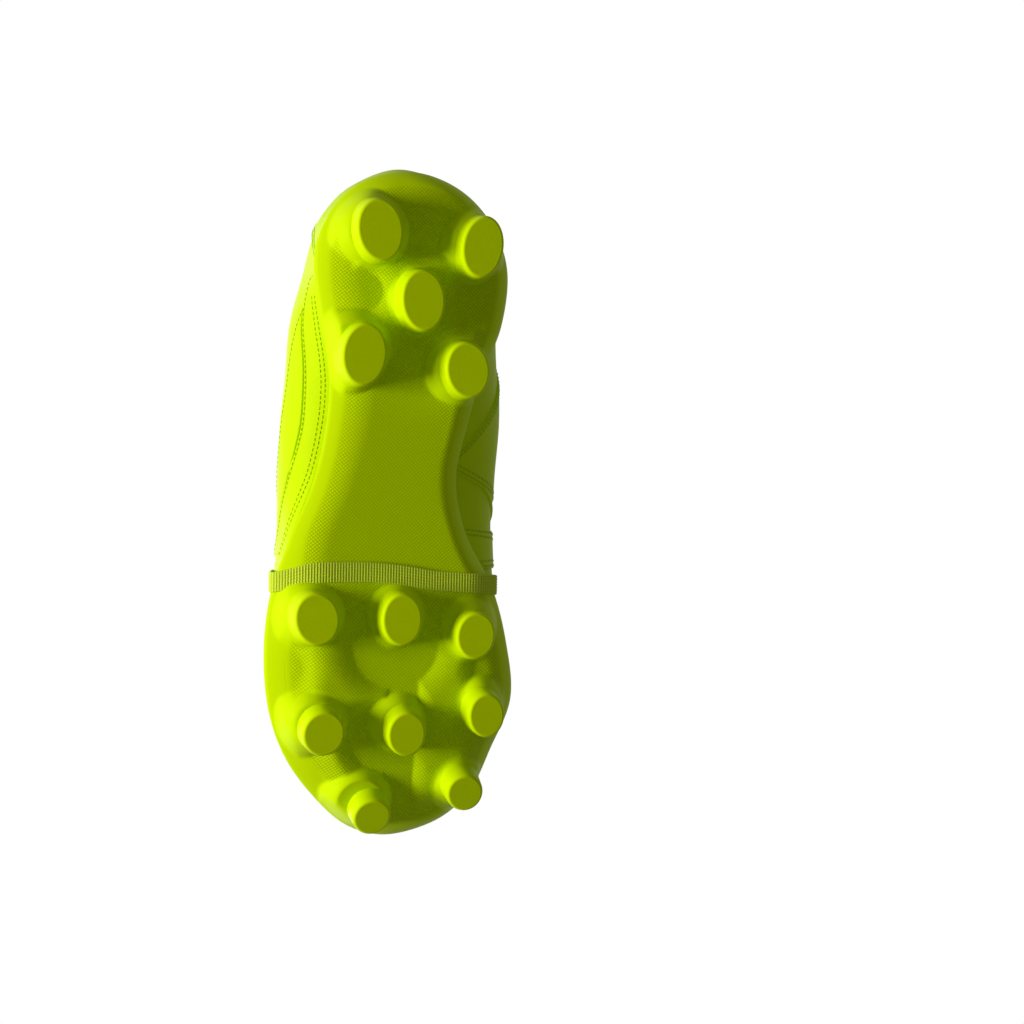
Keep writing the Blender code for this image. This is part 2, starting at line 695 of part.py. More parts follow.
def punch_eyelets(objects, cutters):
    """Cut the lace holes through the eyestays and the leather below them."""
    for side, names in ((1, "lateral"), (-1, "medial")):
        for row in range(EYELET_ROWS):
            middle, normal = eyelet(side, row)
            bm = bmesh.new()
            turn = Vector(normal).to_track_quat("Z", "Y").to_matrix().to_4x4()
            place = Matrix.Translation(Vector(to_world(middle))) @ turn
            bmesh.ops.create_cone(bm, cap_ends=True, segments=12, radius1=EYELET / 2 * MM,
                                  radius2=EYELET / 2 * MM, depth=12 * MM, matrix=place)
            cutter = new_object(f"eyelet_{names}_{row}", bm, (NEON, 0.5), cutters)
            cutter.hide_render = True
            cutter.display_type = "WIRE"
            for name in (f"eyestay_{names}", f"quarter_{names}"):
                cut = objects[name].modifiers.new(cutter.name, "BOOLEAN")
                cut.operation = "DIFFERENCE"
                cut.object = cutter


def lace_path():
    """Straight bars over the tongue, joined by runs under the eyestays."""
    outside, inside = LACE / 2 + 0.4 - OVERLAY_DEPTH, LEATHER + LACE / 2 + 0.5
    knots = []
    side = 1
    for row in range(EYELET_ROWS):
        ends = []
        for turn in (side, -side):
            t = eyelet_station(row)
            u = t if turn > 0 else LAPS - t
            middle, normal = eyelet(turn, row)
            lip = skin(u, 1.0) + skin_normal(u, 0.985) * outside
            ends.append([middle - normal * inside, middle + normal * outside, lip])
        crest = across(t, -outside, 1, 3)[1]
        knots.extend(ends[0] + [crest] + ends[1][::-1])
        side = -side
    return knots


def lace(collection):
    tube("lace", lace_path(), LACE, (NEON_TEXTILE, 0.85), collection)


# ---------------------------------------------------------------- strap and tab

def hull(points):
    """Convex outline of points in a plane, anticlockwise."""
    points = sorted(map(tuple, points))

    def half(ordered):
        chain = []
        for p in ordered:
            while len(chain) > 1:
                (ax, ay), (bx, by) = chain[-2], chain[-1]
                if (bx - ax) * (p[1] - ay) - (by - ay) * (p[0] - ax) > 0:
                    break
                chain.pop()
            chain.append(p)
        return chain[:-1]
    return np.array(half(points) + half(points[::-1]))


def strap_x(y, z):
    """Middle line of the strap, which bows under the sole and leans forward above it."""
    low = plate_z(STRAP_X) + 2
    start, more = STRAP_TOP_LEAN
    lean = STRAP_LEAN * max(z - low, 0.0) + more * max(z - start, 0.0)
    return STRAP_X + table(STRAP_BOW, y) + lean


def strap_outline():
    """The boot's section under the strap, pulled tight, as (y, z) points."""
    points = []
    for u in np.arange(0, LAPS, 0.1):
        for v in np.linspace(0, 1, 21):
            point = upper(u, v, -GAP)
            if abs(point[0] - strap_x(point[1], point[2])) < STRAP_WIDTH / 2 + 1:
                points.append((point[1], point[2]))
        for inset, share in SOLE_EDGE:
            x, y = rim_point(u, inset)
            if abs(x - strap_x(y, 0.0)) < STRAP_WIDTH / 2 + 1:
                points.append((y, plate_z(x) + (rim_z(x) - plate_z(x)) * share))
    outline = hull(points)
    middle = outline.mean(axis=0)
    ring = []
    for angle in np.linspace(0, 2 * math.pi, 120, endpoint=False):
        way = np.array([math.cos(angle), math.sin(angle)])
        best = None
        for a, b in zip(outline, np.roll(outline, -1, axis=0)):
            edge = b - a
            area = way[0] * edge[1] - way[1] * edge[0]
            if abs(area) < 1e-9:
                continue
            start = a - middle
            far = (start[0] * edge[1] - start[1] * edge[0]) / area
            share = (start[0] * way[1] - start[1] * way[0]) / area
            if far > 0 and -1e-9 <= share <= 1 + 1e-9:
                best = far
        ring.append(middle + way * best)
    ring = np.array(ring)
    ahead = np.roll(ring, -1, axis=0) - np.roll(ring, 1, axis=0)
    outward = np.stack([ahead[:, 1], -ahead[:, 0]], axis=1)
    outward /= np.linalg.norm(outward, axis=1)[:, None]
    return ring + outward * (STRAP + STRAP_SLACK)


def elastic_strap(collection):
    ring = strap_outline()
    rows = [[(strap_x(y, z) + STRAP_WIDTH * side, y, z) for y, z in ring] for side in (0.5, -0.5)]
    strap = new_object("elastic_strap", grid_bmesh(rows, closed=True), (NEON_TEXTILE, 0.85),
                       collection)
    thicken(strap, STRAP)
    place_origin(strap, (STRAP_X, -2.0, 45.0))


def heel_pull_tab(collection):
    """Webbing loop sewn over the back of the collar."""
    half = 5.0
    path = [upper(0.0, v, OVERLAY_DEPTH - 1.9) for v in (0.74, 0.83, 0.92, 1.0)]
    crest = upper(0.0, 1.0, 0.0)
    path += [crest + np.array([-3.0, 0, 6.5]), crest + np.array([1.5, 0, 9.6]),
             crest + np.array([7.0, 0, 9.4]), crest + np.array([11.2, 0, 5.5]),
             crest + np.array([12.4, 0, -2]), crest + np.array([12.8, 0, -10])]
    rows = [[point - np.array([0, half, 0]), point + np.array([0, half, 0])] for point in path]
    thicken(new_object("heel_pull_tab", grid_bmesh(rows), (NEON_TEXTILE, 0.8), collection), 1.2)


def collar_binding(collection):
    """Rolled leather edge that closes the collar over its foam."""
    sections = []
    for u in np.linspace(LAPS - 6.4, LAPS + 6.4, 31):
        crest, normal = skin(u, 1.0), skin_normal(u, 1.0)
        flat = np.array([normal[0], normal[1], 0])
        flat /= np.linalg.norm(flat)
        middle = crest - flat * 3.4 + np.array([0, 0, 0.7])
        sections.append([middle + flat * (4.0 * math.cos(a)) + np.array([0, 0, 3.0 * math.sin(a)])
                         for a in np.linspace(0, math.pi, 7)])
    bm = grid_bmesh(sections, closed=True)
    bmesh.ops.holes_fill(bm, edges=[edge for edge in bm.edges if edge.is_boundary], sides=0)
    bmesh.ops.recalc_face_normals(bm, faces=bm.faces)
    new_object("collar_binding", bm, (NEON_LEATHER, 0.45), collection)


# ---------------------------------------------------------------- assembly

def main():
    for obj in list(bpy.data.objects):
        bpy.data.objects.remove(obj, do_unlink=True)
    boot = bpy.data.collections.new("soccer_cleat")
    cutters = bpy.data.collections.new("cutters")
    bpy.context.scene.collection.children.link(boot)
    bpy.context.scene.collection.children.link(cutters)

    outsole = outsole_shell(boot)
    add_flares(outsole, HEEL_STUDS + FORE_STUDS, cutters)
    stud_tips(boot)
    sole_stack(boot)
    upper_panels(boot)
    side_bands(boot)
    inner_layers(boot)
    tongue(boot)
    tongue_flap(boot)
    punch_eyelets(boot.objects, cutters)
    lace(boot)
    elastic_strap(boot)
    heel_pull_tab(boot)
    collar_binding(boot)


main()
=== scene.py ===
"""Soccer cleat: what is seen of the boot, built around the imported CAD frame.

Shapes are worked out in the shoe's own millimetres, with the boot standing on
its studs at z = 0, its toe towards +X and its outer side towards +Y, and are
moved to the frame's metres where meshes are made.  A place round the boot is u:
the station t on the outer side and LAPS - t on the inner side, from 0 at the
heel to TOE at the toe.  A height on the upper is v: 0 at the sole, 1 at the top.
"""
import math

import bmesh
import bpy
import numpy as np
from mathutils import Matrix, Vector

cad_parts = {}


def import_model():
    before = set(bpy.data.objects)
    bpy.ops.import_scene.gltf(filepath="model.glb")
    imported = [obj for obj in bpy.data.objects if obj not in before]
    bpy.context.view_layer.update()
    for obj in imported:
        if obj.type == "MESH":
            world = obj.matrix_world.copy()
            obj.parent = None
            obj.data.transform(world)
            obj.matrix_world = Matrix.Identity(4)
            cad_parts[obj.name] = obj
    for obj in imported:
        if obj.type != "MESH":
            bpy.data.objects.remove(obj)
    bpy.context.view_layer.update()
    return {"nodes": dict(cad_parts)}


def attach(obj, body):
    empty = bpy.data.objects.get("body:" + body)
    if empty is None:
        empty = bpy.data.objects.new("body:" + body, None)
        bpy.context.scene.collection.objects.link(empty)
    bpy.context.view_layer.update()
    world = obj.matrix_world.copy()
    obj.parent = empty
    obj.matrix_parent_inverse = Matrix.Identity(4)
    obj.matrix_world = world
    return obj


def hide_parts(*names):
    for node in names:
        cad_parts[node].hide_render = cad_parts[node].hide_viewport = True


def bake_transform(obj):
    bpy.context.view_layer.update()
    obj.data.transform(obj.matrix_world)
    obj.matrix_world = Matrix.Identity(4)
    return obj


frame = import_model()

MM = 0.001
FAR = 99.0  # farther than any seam or edge that counts
CENTRE = np.array([-1.65, 1.3, 0.0])
GAP = 0.35

STUD_HEIGHT = 14.0
PLATE = 4.0
ARCH_RISE = 2.5
SPRING_START = 60.0
SPRING_RATE = 0.0023
INSOLE_INSET = 8.9
BOARD = 1.2
SOCKLINER = 4.0
FEATHER_INSET = 2.4
LEATHER = 1.5
LINING_DEPTH = 4.3
FLAP_DEPTH = -7.6
FLAP_LIFT = 3.4
FULLNESS = 1.35
WAIST_V = 0.42
EYELET_ROWS = 6
LACE = 2.8
HOLE_RADIUS = 1.95
STRAP_X = 29.2
STRAP_WIDTH = 9.1
STRAP = 1.2
STRAP_BOW = [(-54, 6.6), (-34, 5.2), (-20, 4.2), (-8, 2.2), (2, 0.9), (12, 0.2), (30, 0.2),
             (38, 0.9), (46, 3.2), (54, 4.8)]   # how far it lies ahead of STRAP_X at each y
STRAP_LEAN = 0.08             # how far it leans to the toe for each mm that it rises
STRAP_TOP_LEAN = (48.0, 0.3)  # height where it starts to lean more, and how much more
STRAP_SLACK = -0.25           # how far it stands off what it is pulled over
RIB_PITCH = 1.26
TOE = 16
LAPS = 2 * TOE
THROAT = 11
FOLD_FADE = 2.0  # the throat's rounded edge runs out over this length

# Outline of the sole's rim, x and y from the heel to the toe on each side
HEEL_TIP = (-147.3, -6.0)
TOE_TIP = (151.8, -6.0)
RIM_LATERAL = [(-143.4, 12), (-134.1, 25.1), (-118.8, 34.3), (-103, 36.5), (-80, 33),
               (-55, 29.3), (-30, 31), (-8, 36), (18, 46.5), (40.1, 53.8), (66, 56.1),
               (92.1, 53), (114.3, 44), (133.8, 28.8), (146.9, 13)]
RIM_MEDIAL = [(-143.9, -22.3), (-135.2, -36.2), (-121.4, -46.7), (-103, -52), (-79.9, -49.2),
              (-58.2, -40.5), (-35, -34), (-10, -30), (14, -35.5), (38.2, -48.1),
              (62.2, -55.1), (88, -58.3), (111.4, -50.4), (131.6, -42.4), (145.4, -28.1)]
# Widest line of the upper, in the same way, and its height at each x
WIDE_HEEL = (-149.2, -6.0)
WIDE_TOE = (149.0, -6.0)
WIDE_LATERAL = [(-142.0, 12.2), (-131.4, 23.4), (-117.6, 31.2), (-101.4, 35.6),
                (-79.5, 41.4), (-55.7, 43.1), (-31.9, 45.0), (-9.9, 45.2), (14.1, 45.6),
                (36, 48.6), (61, 51.6), (87, 49.2), (110, 41), (130, 27.5), (143.6, 12.3)]
WIDE_MEDIAL = [(-144.0, -24.4), (-133.8, -36.4), (-118.7, -45.3), (-101.5, -51.1),
               (-79.9, -52.3), (-57.9, -54.7), (-35, -55.5), (-11, -53.9), (12, -52.9),
               (35, -52.8), (59, -53.5), (85, -54), (109, -47.8), (129, -39.4), (142.4, -26.5)]
WIDE_HEIGHT = [(-150, 50), (-60, 48), (0, 47), (40, 42), (80, 40), (110, 42.5), (135, 45),
               (152, 47)]
# Top line of the upper at each station: x, height, middle and half width, and its lean in degrees
TOP_X = [-143, -139.5, -131, -118, -101, -80, -60, -45, -20, 4, 27, 46, 68, 92, 112, 127, 134]
TOP_Z = [95, 94, 91, 84.5, 78, 77.5, 86, 98, 90, 80.5, 72, 65.5, 60, 56.5, 54.5, 53.5, 53]
TOP_MIDDLE = [-6, -6, -6, -6, -6, -5.5, -5, -4.5, -4, -3.5, -3, -2.5, -2.5, -3, -4, -5, -6]
TOP_HALF = [0, 12, 20.5, 27, 31, 32, 29, 20, 16.5, 13.5, 10.5]
TOP_LEAN = [(0, 88), (4, 85), (6, 70), (7, 55), (8, 42), (9, 36), (10, 25), (11, 0), (16, 0)]
RIM_HEIGHT = [(-150, 9.5), (-90, 8.5), (-50, 6.8), (0, 6.8), (40, 9), (80, 10), (120, 9),
              (153, 8)]

# Studs: x, y of the axis at the ground, half width, half length, turn in degrees
HEEL_STUDS = [(-119.8, 12.2, 10.2, 13.6, -9), (-114.2, -34.0, 9.4, 13.6, 9),
              (-90.1, -7.6, 9.8, 13.4, -5), (-66.0, 18.2, 9.9, 13.6, 6),
              (-60.3, -28.3, 9.9, 12.4, -9)]
FORE_STUDS = [(48.7, 37.2, 9.9, 11.6, -12), (49.2, -0.7, 9.0, 11.5, 0),
              (56.7, -34.4, 8.9, 10.4, 6), (99.2, 32.7, 9.4, 10.2, 0),
              (100.3, -4.6, 8.6, 10.3, -5), (92.6, -40.7, 8.2, 10.2, -8),
              (138.5, 8.1, 8.6, 8.8, 0), (128.5, -33.6, 8.2, 9.0, -20)]
TIP_TAPER = 0.8

# Domes at the studs' feet: how far ahead of the stud, how far aside, radius
DOMES = [(-0.2, 0.1, 16.3), (-1.0, 0.3, 15.2), (0.0, 0.8, 12.5), (-3.7, 1.2, 16.0),
         (0.4, 1.8, 14.5), (-0.7, -1.5, 13.7), (-1.3, -0.6, 13.1), (-4.0, -0.2, 12.3),
         (-1.1, 1.2, 14.5), (-1.7, 1.7, 13.0), (-4.7, 0.5, 10.2), (-0.4, 4.0, 15.4),
         (2.9, 0.7, 12.5)]
DOME_HEIGHT = 5.4
DOME_FLANK = 5.0
DOME_BLEND = 1.3
DOME_SKIRT = 1.8              # least width of dome round a stud

# Raised lands between the studs: corners, reach past each side, height, width of edge
LANDS = [([(-119.8, 12.2), (-114.2, -34.0), (-60.3, -28.3), (-66.0, 18.2)],
          (-5.5, 6.0, 1.0, 6.0), 2.6, 5.0),
         ([(48.7, 37.2), (56.7, -34.4), (128.5, -33.6), (138.5, 8.1), (99.2, 32.7)],
          (-1.0, 4.0, 3.0, 4.0, 5.0), 2.6, 11.0)]
# Hollows in the lands: x, y, radius, way in which they run out, width of the slope round them
HOLLOWS = [(-93.8, 15.5, 8.5, (0, 1), 8.0), (-88.8, -34.6, 8.8, (0, -1), 8.0),
           (-66.9, -5.5, 6.8, (1, 0), 7.0), (61.3, -1.1, 20.0, (0, 0), 11.0),
           (103.8, 1.8, 15.5, (0, 0), 10.0), (72.0, 47.0, 7.0, (0, 1), 12.0),
           (73.6, -43.0, 6.0, (0, -1), 9.0)]
CAMBER_WIDTH = [(-150, 11), (-128, 18), (-60, 20), (-20, 18), (15, 18), (40, 23), (70, 26),
                (110, 24), (135, 15), (152, 10)]
CAMBER_SHARE = 0.86           # share of the rim's height that the camber climbs
CAMBER_EDGE = 0.05            # and what the rounded corner adds

# Overlay edges on the outer side, v by station
HEM_LINE = [(4, 0.05), (7.5, 0.06), (9.6, 0.11)]
MIDDLE_LINE = [(4, 0.09), (4.2, 0.185), (4.45, 0.215), (4.85, 0.222), (5.5, 0.205), (6.2, 0.195),
               (6.95, 0.19), (7.68, 0.24), (8.43, 0.33), (9.6, 0.50)]
UPPER_LINE = [(4.7, 0.245), (5.0, 0.29), (5.4, 0.335), (5.85, 0.37), (6.7, 0.40), (7.9, 0.47),
              (9.6, 0.66)]
SOLE_ROW = [(4.5, 0.075), (5.0, 0.056), (5.5, 0.048), (6.1, 0.045), (6.7, 0.044), (7.3, 0.048),
            (7.83, 0.06), (8.4, 0.10), (8.9, 0.155), (9.4, 0.225)]

TONGUE_FRONT = 11.9
TONGUE_BEND = 7.1
TONGUE_HALF = 27.0
TONGUE_SLOPE = 20.0
TONGUE_TURN = math.radians(50)
COLLAR_LENGTH = 26.0
FLAP_FRONT = 11.2
FLAP_HALF = 25.0
FLAP_THICK = 1.6

NEON_SOLE = (0.67, 0.92, 0.0)
NEON_TIP = (0.68, 0.91, 0.0)
NEON_UPPER = (0.64, 0.90, 0.0)
NEON_THREAD = (0.57, 0.83, 0.0)
NEON_TEXTILE = (0.64, 0.90, 0.02)
NEON_ELASTIC = (0.80, 0.98, 0.05)
PALE_FOAM = (0.80, 0.85, 0.55)
DYED_BOARD = (0.50, 0.70, 0.06)
STEEL = (0.55, 0.56, 0.58)

# Fine relief of the sole and of the studs' ends: spacing, and the ways of its grooves in degrees
KNURL_PITCH = 1.2
KNURL_TURNS = (48.3, -36.9)
DOT_PITCH = 0.75
DOT_TURNS = (20.0, 110.0)


# ---------------------------------------------------------------- curves

def spline(points, u, closed=False):
    """Points number u of a smooth curve that passes through every point."""
    p, u = np.asarray(points, float), np.asarray(u, float)
    n = len(p)
    i = np.floor(u).astype(int)
    if closed:
        a, b, c, d = (p[(i + j) % n] for j in (-1, 0, 1, 2))
    else:
        i = np.clip(i, 0, n - 2)
        a, b, c, d = (p[np.clip(i + j, 0, n - 1)] for j in (-1, 0, 1, 2))
    f = u - i
    if p.ndim > 1:
        f = f[..., None]
    return 0.5 * (2 * b + (c - a) * f + (2 * a - 5 * b + 4 * c - d) * f ** 2
                  + (3 * b - a - 3 * c + d) * f ** 3)


def table(pairs, x):
    """Values at x of a table of (x, value) pairs, eased between them."""
    xs, values = zip(*pairs)
    return spline(values, np.interp(x, xs, np.arange(len(xs))))


def smoothstep(x):
    x = np.clip(x, 0.0, 1.0)
    return x * x * (3 - 2 * x)


def hermite(a, b, leave, arrive, f):
    """Cubic from a to b with the given end tangents."""
    return ((2 * f ** 3 - 3 * f ** 2 + 1) * a + (f ** 3 - 2 * f ** 2 + f) * leave
            + (3 * f ** 2 - 2 * f ** 3) * b + (f ** 3 - f ** 2) * arrive)


def unit(vectors):
    size = np.linalg.norm(vectors, axis=-1, keepdims=True)
    return vectors / np.maximum(size, 1e-9)


def smooth_max(a, b, blend):
    """The larger of two heights, with a fillet where they meet."""
    share = np.maximum(blend - np.abs(a - b), 0) / blend
    return np.maximum(a, b) + share ** 2 * blend / 4


def path_run(points):
    """Distance along a path from its first point."""
    return np.concatenate([[0], np.cumsum(np.linalg.norm(np.diff(points, axis=0), axis=1))])


def on_path(places, run, points):
    """Points of a path at the given distances along it."""
    return np.stack([np.interp(places, run, column) for column in points.T], axis=-1)


RIM = [HEEL_TIP] + RIM_LATERAL + [TOE_TIP] + RIM_MEDIAL[::-1]
WIDEST = [WIDE_HEEL] + WIDE_LATERAL + [WIDE_TOE] + WIDE_MEDIAL[::-1]


def station(u):
    u = np.asarray(u, float) % LAPS
    return np.minimum(u, LAPS - u)


def side_of(u):
    return np.where(np.asarray(u, float) % LAPS <= TOE, 1.0, -1.0)


# ---------------------------------------------------------------- the boot's surfaces

def plate_z(x):
    """Underside of the sole plate."""
    arch = ARCH_RISE * smoothstep((x + 45) / 30) * smoothstep((34 - x) / 30)
    return STUD_HEIGHT + arch + SPRING_RATE * np.maximum(x - SPRING_START, 0.0) ** 2


def plate_slope(x):
    return plate_z(x + 0.5) - plate_z(x - 0.5)


def rim_z(x):
    """Top of the sole's rim."""
    return plate_z(x) + table(RIM_HEIGHT, x)


def rim_point(u, inset):
    """Points of the sole outline, moved inwards by inset."""
    u, inset = np.broadcast_arrays(np.asarray(u, float), np.asarray(inset, float))
    ahead = unit(spline(RIM, u + 0.05, True) - spline(RIM, u - 0.05, True))
    inward = np.stack([ahead[..., 1], -ahead[..., 0]], axis=-1)
    return spline(RIM, u, True) + inward * inset[..., None]


def spine_point(u):
    """Middle line of the sole, which stops short of the heel and the toe."""
    t = np.clip(station(u), 3.0, TOE - 3.0)
    return (spline(RIM, t, True) + spline(RIM, LAPS - t, True)) / 2


def feather(u):
    flat = rim_point(u, FEATHER_INSET)
    return np.concatenate([flat, (rim_z(flat[..., 0]) + 2 * GAP)[..., None]], axis=-1)


def widest(u):
    flat = spline(WIDEST, u, True)
    return np.concatenate([flat, table(WIDE_HEIGHT, flat[..., 0])[..., None]], axis=-1)


def top_half(t):
    last = THROAT - 1
    body = spline([-TOP_HALF[1]] + TOP_HALF, np.minimum(t, last) + 1)
    end = TOP_HALF[last] * np.sqrt(np.maximum(0.0, 1 - (t - last) ** 2))
    return np.where(t >= THROAT, 0.0, np.where(t > last, end, body))


def top(u):
    t = station(u)
    y = spline(TOP_MIDDLE, t) + side_of(u) * top_half(t)
    return np.stack([spline(TOP_X, t), y, spline(TOP_Z, t)], axis=-1)


def skin(u, v):
    """Outer face of the leather upper."""
    u, v = np.broadcast_arrays(np.asarray(u, float), np.asarray(v, float))
    low, wide, high = feather(u), widest(u), top(u)
    rise = wide[..., 2:] - low[..., 2:]
    flat = np.zeros_like(rise)
    arrive = np.concatenate([flat, flat, rise * 1.1], axis=-1)
    share = np.clip(v / WAIST_V, 0, 1)[..., None]
    below = hermite(low, wide, (wide - low) * np.array([1.6, 1.6, 0.6]), arrive, share)
    reach, rise = high - wide, high[..., 2:] - wide[..., 2:]
    lean = np.radians(table(TOP_LEAN, station(u)))[..., None]
    leave = np.concatenate([flat, flat, rise * FULLNESS], axis=-1)
    arrive = FULLNESS * np.concatenate([reach[..., :2] * np.cos(lean), rise * np.sin(lean)], -1)
    share = np.clip((v - WAIST_V) / (1 - WAIST_V), 0, 1)[..., None]
    above = hermite(wide, high, leave, arrive, share)
    return np.where((v <= WAIST_V)[..., None], below, above)


def skin_normal(u, v):
    du, dv = 0.04, 0.01
    along = skin(u + du, v) - skin(u - du, v)
    up = skin(u, np.minimum(v + dv, 1.0)) - skin(u, np.maximum(v - dv, 0.0))
    normal = np.cross(up, along)
    normal[..., 2] *= smoothstep(np.asarray(v) / 0.2)
    size = np.linalg.norm(normal, axis=-1, keepdims=True)
    return np.where(size > 1e-6, normal / np.maximum(size, 1e-9), [0.0, 0.0, 1.0])


def shell_normal(u, v):
    """Normal of the upper, made one along the ridge where its two sides meet."""
    normal = skin_normal(u, v)
    both = unit(normal + skin_normal(LAPS - np.asarray(u), v))
    ridge = (np.asarray(v) > 0.999) & (station(u) >= THROAT)
    return np.where(ridge[..., None], both, normal)


def across(t, depth, half, count):
    """Row of points over the instep at station t, centred on the throat."""
    def section(at):
        rise_points = skin(at, np.linspace(0.5, 1, 16))
        fall_points = skin(LAPS - at, np.linspace(1, 0.5, 16))
        a, b = rise_points[-1], fall_points[0]
        gap = np.linalg.norm(b - a)
        bridge = np.zeros((0, 3))
        if gap > 0.5:
            leave = unit(rise_points[-1] - rise_points[-2]) * 0.9 * gap
            arrive = unit(fall_points[1] - fall_points[0]) * 0.9 * gap
            bridge = hermite(a, b, leave, arrive, np.linspace(0, 1, 10)[1:-1, None])
        points = np.concatenate([rise_points, bridge, fall_points])
        run = path_run(points)
        keep = np.concatenate([[True], np.diff(run) > 1e-6])
        return points[keep], run[keep] - run[-1] / 2

    def at(here, place):
        points, run = here
        return on_path(place, run, points)

    ahead, behind, here = section(t + 0.1), section(t - 0.1), section(t)
    place = np.linspace(-half, half, count)
    normal = unit(np.cross(at(here, place + 1) - at(here, place - 1),
                           at(ahead, place) - at(behind, place)))
    return at(here, place) - normal * (np.zeros(count) + depth)[:, None]


# ---------------------------------------------------------------- meshes

def weld(points, faces):
    """Make points that coincide one; also says which points are kept."""
    _, first, index = np.unique(np.round(points, 4), axis=0, return_index=True,
                                return_inverse=True)
    index = index.reshape(-1)
    made = []
    for face in faces:
        corners = [int(index[corner]) for corner in face]
        corners = [corner for place, corner in enumerate(corners) if corner != corners[place - 1]]
        if len(set(corners)) > 2 and len(set(corners)) == len(corners):
            made.append(corners)
    return points[first], made, first


def world(points):
    return (np.asarray(points, float) + CENTRE) * MM


def grid_faces(rows, columns, wrap=False, start=0):
    """Quads between the rows of a grid of points."""
    i, j = np.meshgrid(np.arange(rows - 1), np.arange(columns if wrap else columns - 1),
                       indexing="ij")
    k = (j + 1) % columns
    corners = (i * columns + j, (i + 1) * columns + j, (i + 1) * columns + k, i * columns + k)
    return (np.stack(corners, axis=-1).reshape(-1, 4) + start).tolist()


def tube_faces(rows, columns, start=0):
    """Faces of a closed tube: its wall, and a flat cap at each end."""
    last = start + rows * columns
    return grid_faces(rows, columns, wrap=True, start=start) + [
        list(range(start, start + columns)), list(range(last - 1, last - columns - 1, -1))]


def twice(**fields):
    """Values of a sheet's grid, for its two faces."""
    return {key: np.tile(field.ravel(), 2) for key, field in fields.items()}


def piece(name, points, faces, look, nodes=(), body="root", values=None, crease=50):
    """Closed mesh from points in the shoe's millimetres, riding on a body of the frame."""
    mesh = bpy.data.meshes.new(name)
    mesh.from_pydata(world(points).tolist(), [], faces)
    for key, numbers in (values or {}).items():
        layer = mesh.attributes.new(key, "FLOAT", "POINT")
        layer.data.foreach_set("value", np.asarray(numbers, np.float32).ravel())
    bm = bmesh.new()
    bm.from_mesh(mesh)
    bmesh.ops.remove_doubles(bm, verts=bm.verts, dist=1e-6)
    bmesh.ops.dissolve_degenerate(bm, edges=bm.edges, dist=1e-7)
    bmesh.ops.recalc_face_normals(bm, faces=bm.faces)
    bm.to_mesh(mesh)
    bm.free()
    mesh.shade_smooth()
    mesh.set_sharp_from_angle(angle=math.radians(crease))
    mesh.materials.append(look)
    obj = bpy.data.objects.new(name, mesh)
    bpy.context.scene.collection.objects.link(obj)
    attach(obj, body)
    if nodes:
        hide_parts(*nodes)
    return obj


def grid_normals(grid):
    return unit(np.cross(np.gradient(grid, axis=1), np.gradient(grid, axis=0)))


def runs(grid, axis):
    """Distance along each line of a grid from its first point."""
    steps = np.linalg.norm(np.diff(grid, axis=axis), axis=-1)
    zero = np.zeros_like(np.take(steps, [0], axis=axis))
    return np.concatenate([zero, np.cumsum(steps, axis=axis)], axis=axis)


def edge_distances(grid):
    """Distance of each point of a grid from each of its four edges."""
    along, up = runs(grid, 1), runs(grid, 0)
    return {"start": along, "stop": along[:, -1:] - along, "low": up, "high": up[-1:] - up}


def rounding(distance, radius):
    """How far a rounded edge lies below its face."""
    share = 1 - np.clip(distance / radius, 0, 1)
    return radius * (1 - np.sqrt(1 - share ** 2))


def close_sheet(outer, inner, fold=None):
    """Points and faces of a closed sheet; fold marks top points that meet each other."""
    rows, columns = outer.shape[:2]
    total = rows * columns
    points = np.concatenate([outer.reshape(-1, 3), inner.reshape(-1, 3)])
    faces = grid_faces(rows, columns) + grid_faces(rows, columns, start=total)
    index = np.arange(total).reshape(rows, columns)
    skip = np.zeros(columns, bool) if fold is None else fold
    borders = [(index[0], None), (index[:, 0], None), (index[:, -1], None), (index[-1], skip)]
    for line, hidden in borders:
        for place, (a, b) in enumerate(zip(line[:-1], line[1:])):
            if hidden is None or not (hidden[place] and hidden[place + 1]):
                faces.append([int(a), int(b), int(b) + total, int(a) + total])
    return points, faces


# ---------------------------------------------------------------- stitches

THREADS = {}
PITCH = 2.3
STITCH = 1.75
THREAD = 0.26


def stitch_line(group, points, normals):
    """Thread stitches along a line of points on a surface, kept for their group."""
    run = path_run(points)
    count = int(run[-1] / PITCH)
    if count < 2:
        return
    middles = (np.arange(count) + 0.5) * run[-1] / count
    begin = on_path(middles - STITCH / 2, run, points)
    end = on_path(middles + STITCH / 2, run, points)
    up = unit(on_path(middles, run, normals))
    ahead = unit(end - begin)
    aside = np.cross(up, ahead)
    THREADS.setdefault(group, []).append((begin, end, up, aside))


def make_stitches(group, look, body="root"):
    """One piece with all the stitches of a group."""
    begin, end, up, aside = (np.concatenate(part) for part in zip(*THREADS[group]))
    profile = ((0.0, 0.3, -0.30), (0.08, 0.8, -0.12), (0.3, 1.0, 0.08), (0.7, 1.0, 0.08),
               (0.92, 0.8, -0.12), (1.0, 0.3, -0.30))
    sides = 6
    rings = []
    for share, size, lift in profile:
        middle = begin + (end - begin) * share + up * lift
        for side in range(sides):
            turn = 2 * math.pi * side / sides
            rings.append(middle + (aside * math.cos(turn) * 1.15 + up * math.sin(turn))
                         * THREAD * size)
    points = np.stack(rings, axis=1).reshape(-1, 3)
    each = len(profile) * sides
    one = tube_faces(len(profile), sides)
    faces = [[corner + number * each for corner in face]
             for number in range(len(begin)) for face in one]
    # Painted shade of the needle holes: 1 at each end of a stitch, 0 in its middle.
    painted_hole_shade = np.tile(np.repeat([1.0, 0.6, 0.0, 0.0, 0.6, 1.0], sides), len(begin))
    return piece(f"stitching_{group}", points, faces, look, body=body,
                 values={"painted_hole_shade": painted_hole_shade}, crease=80)


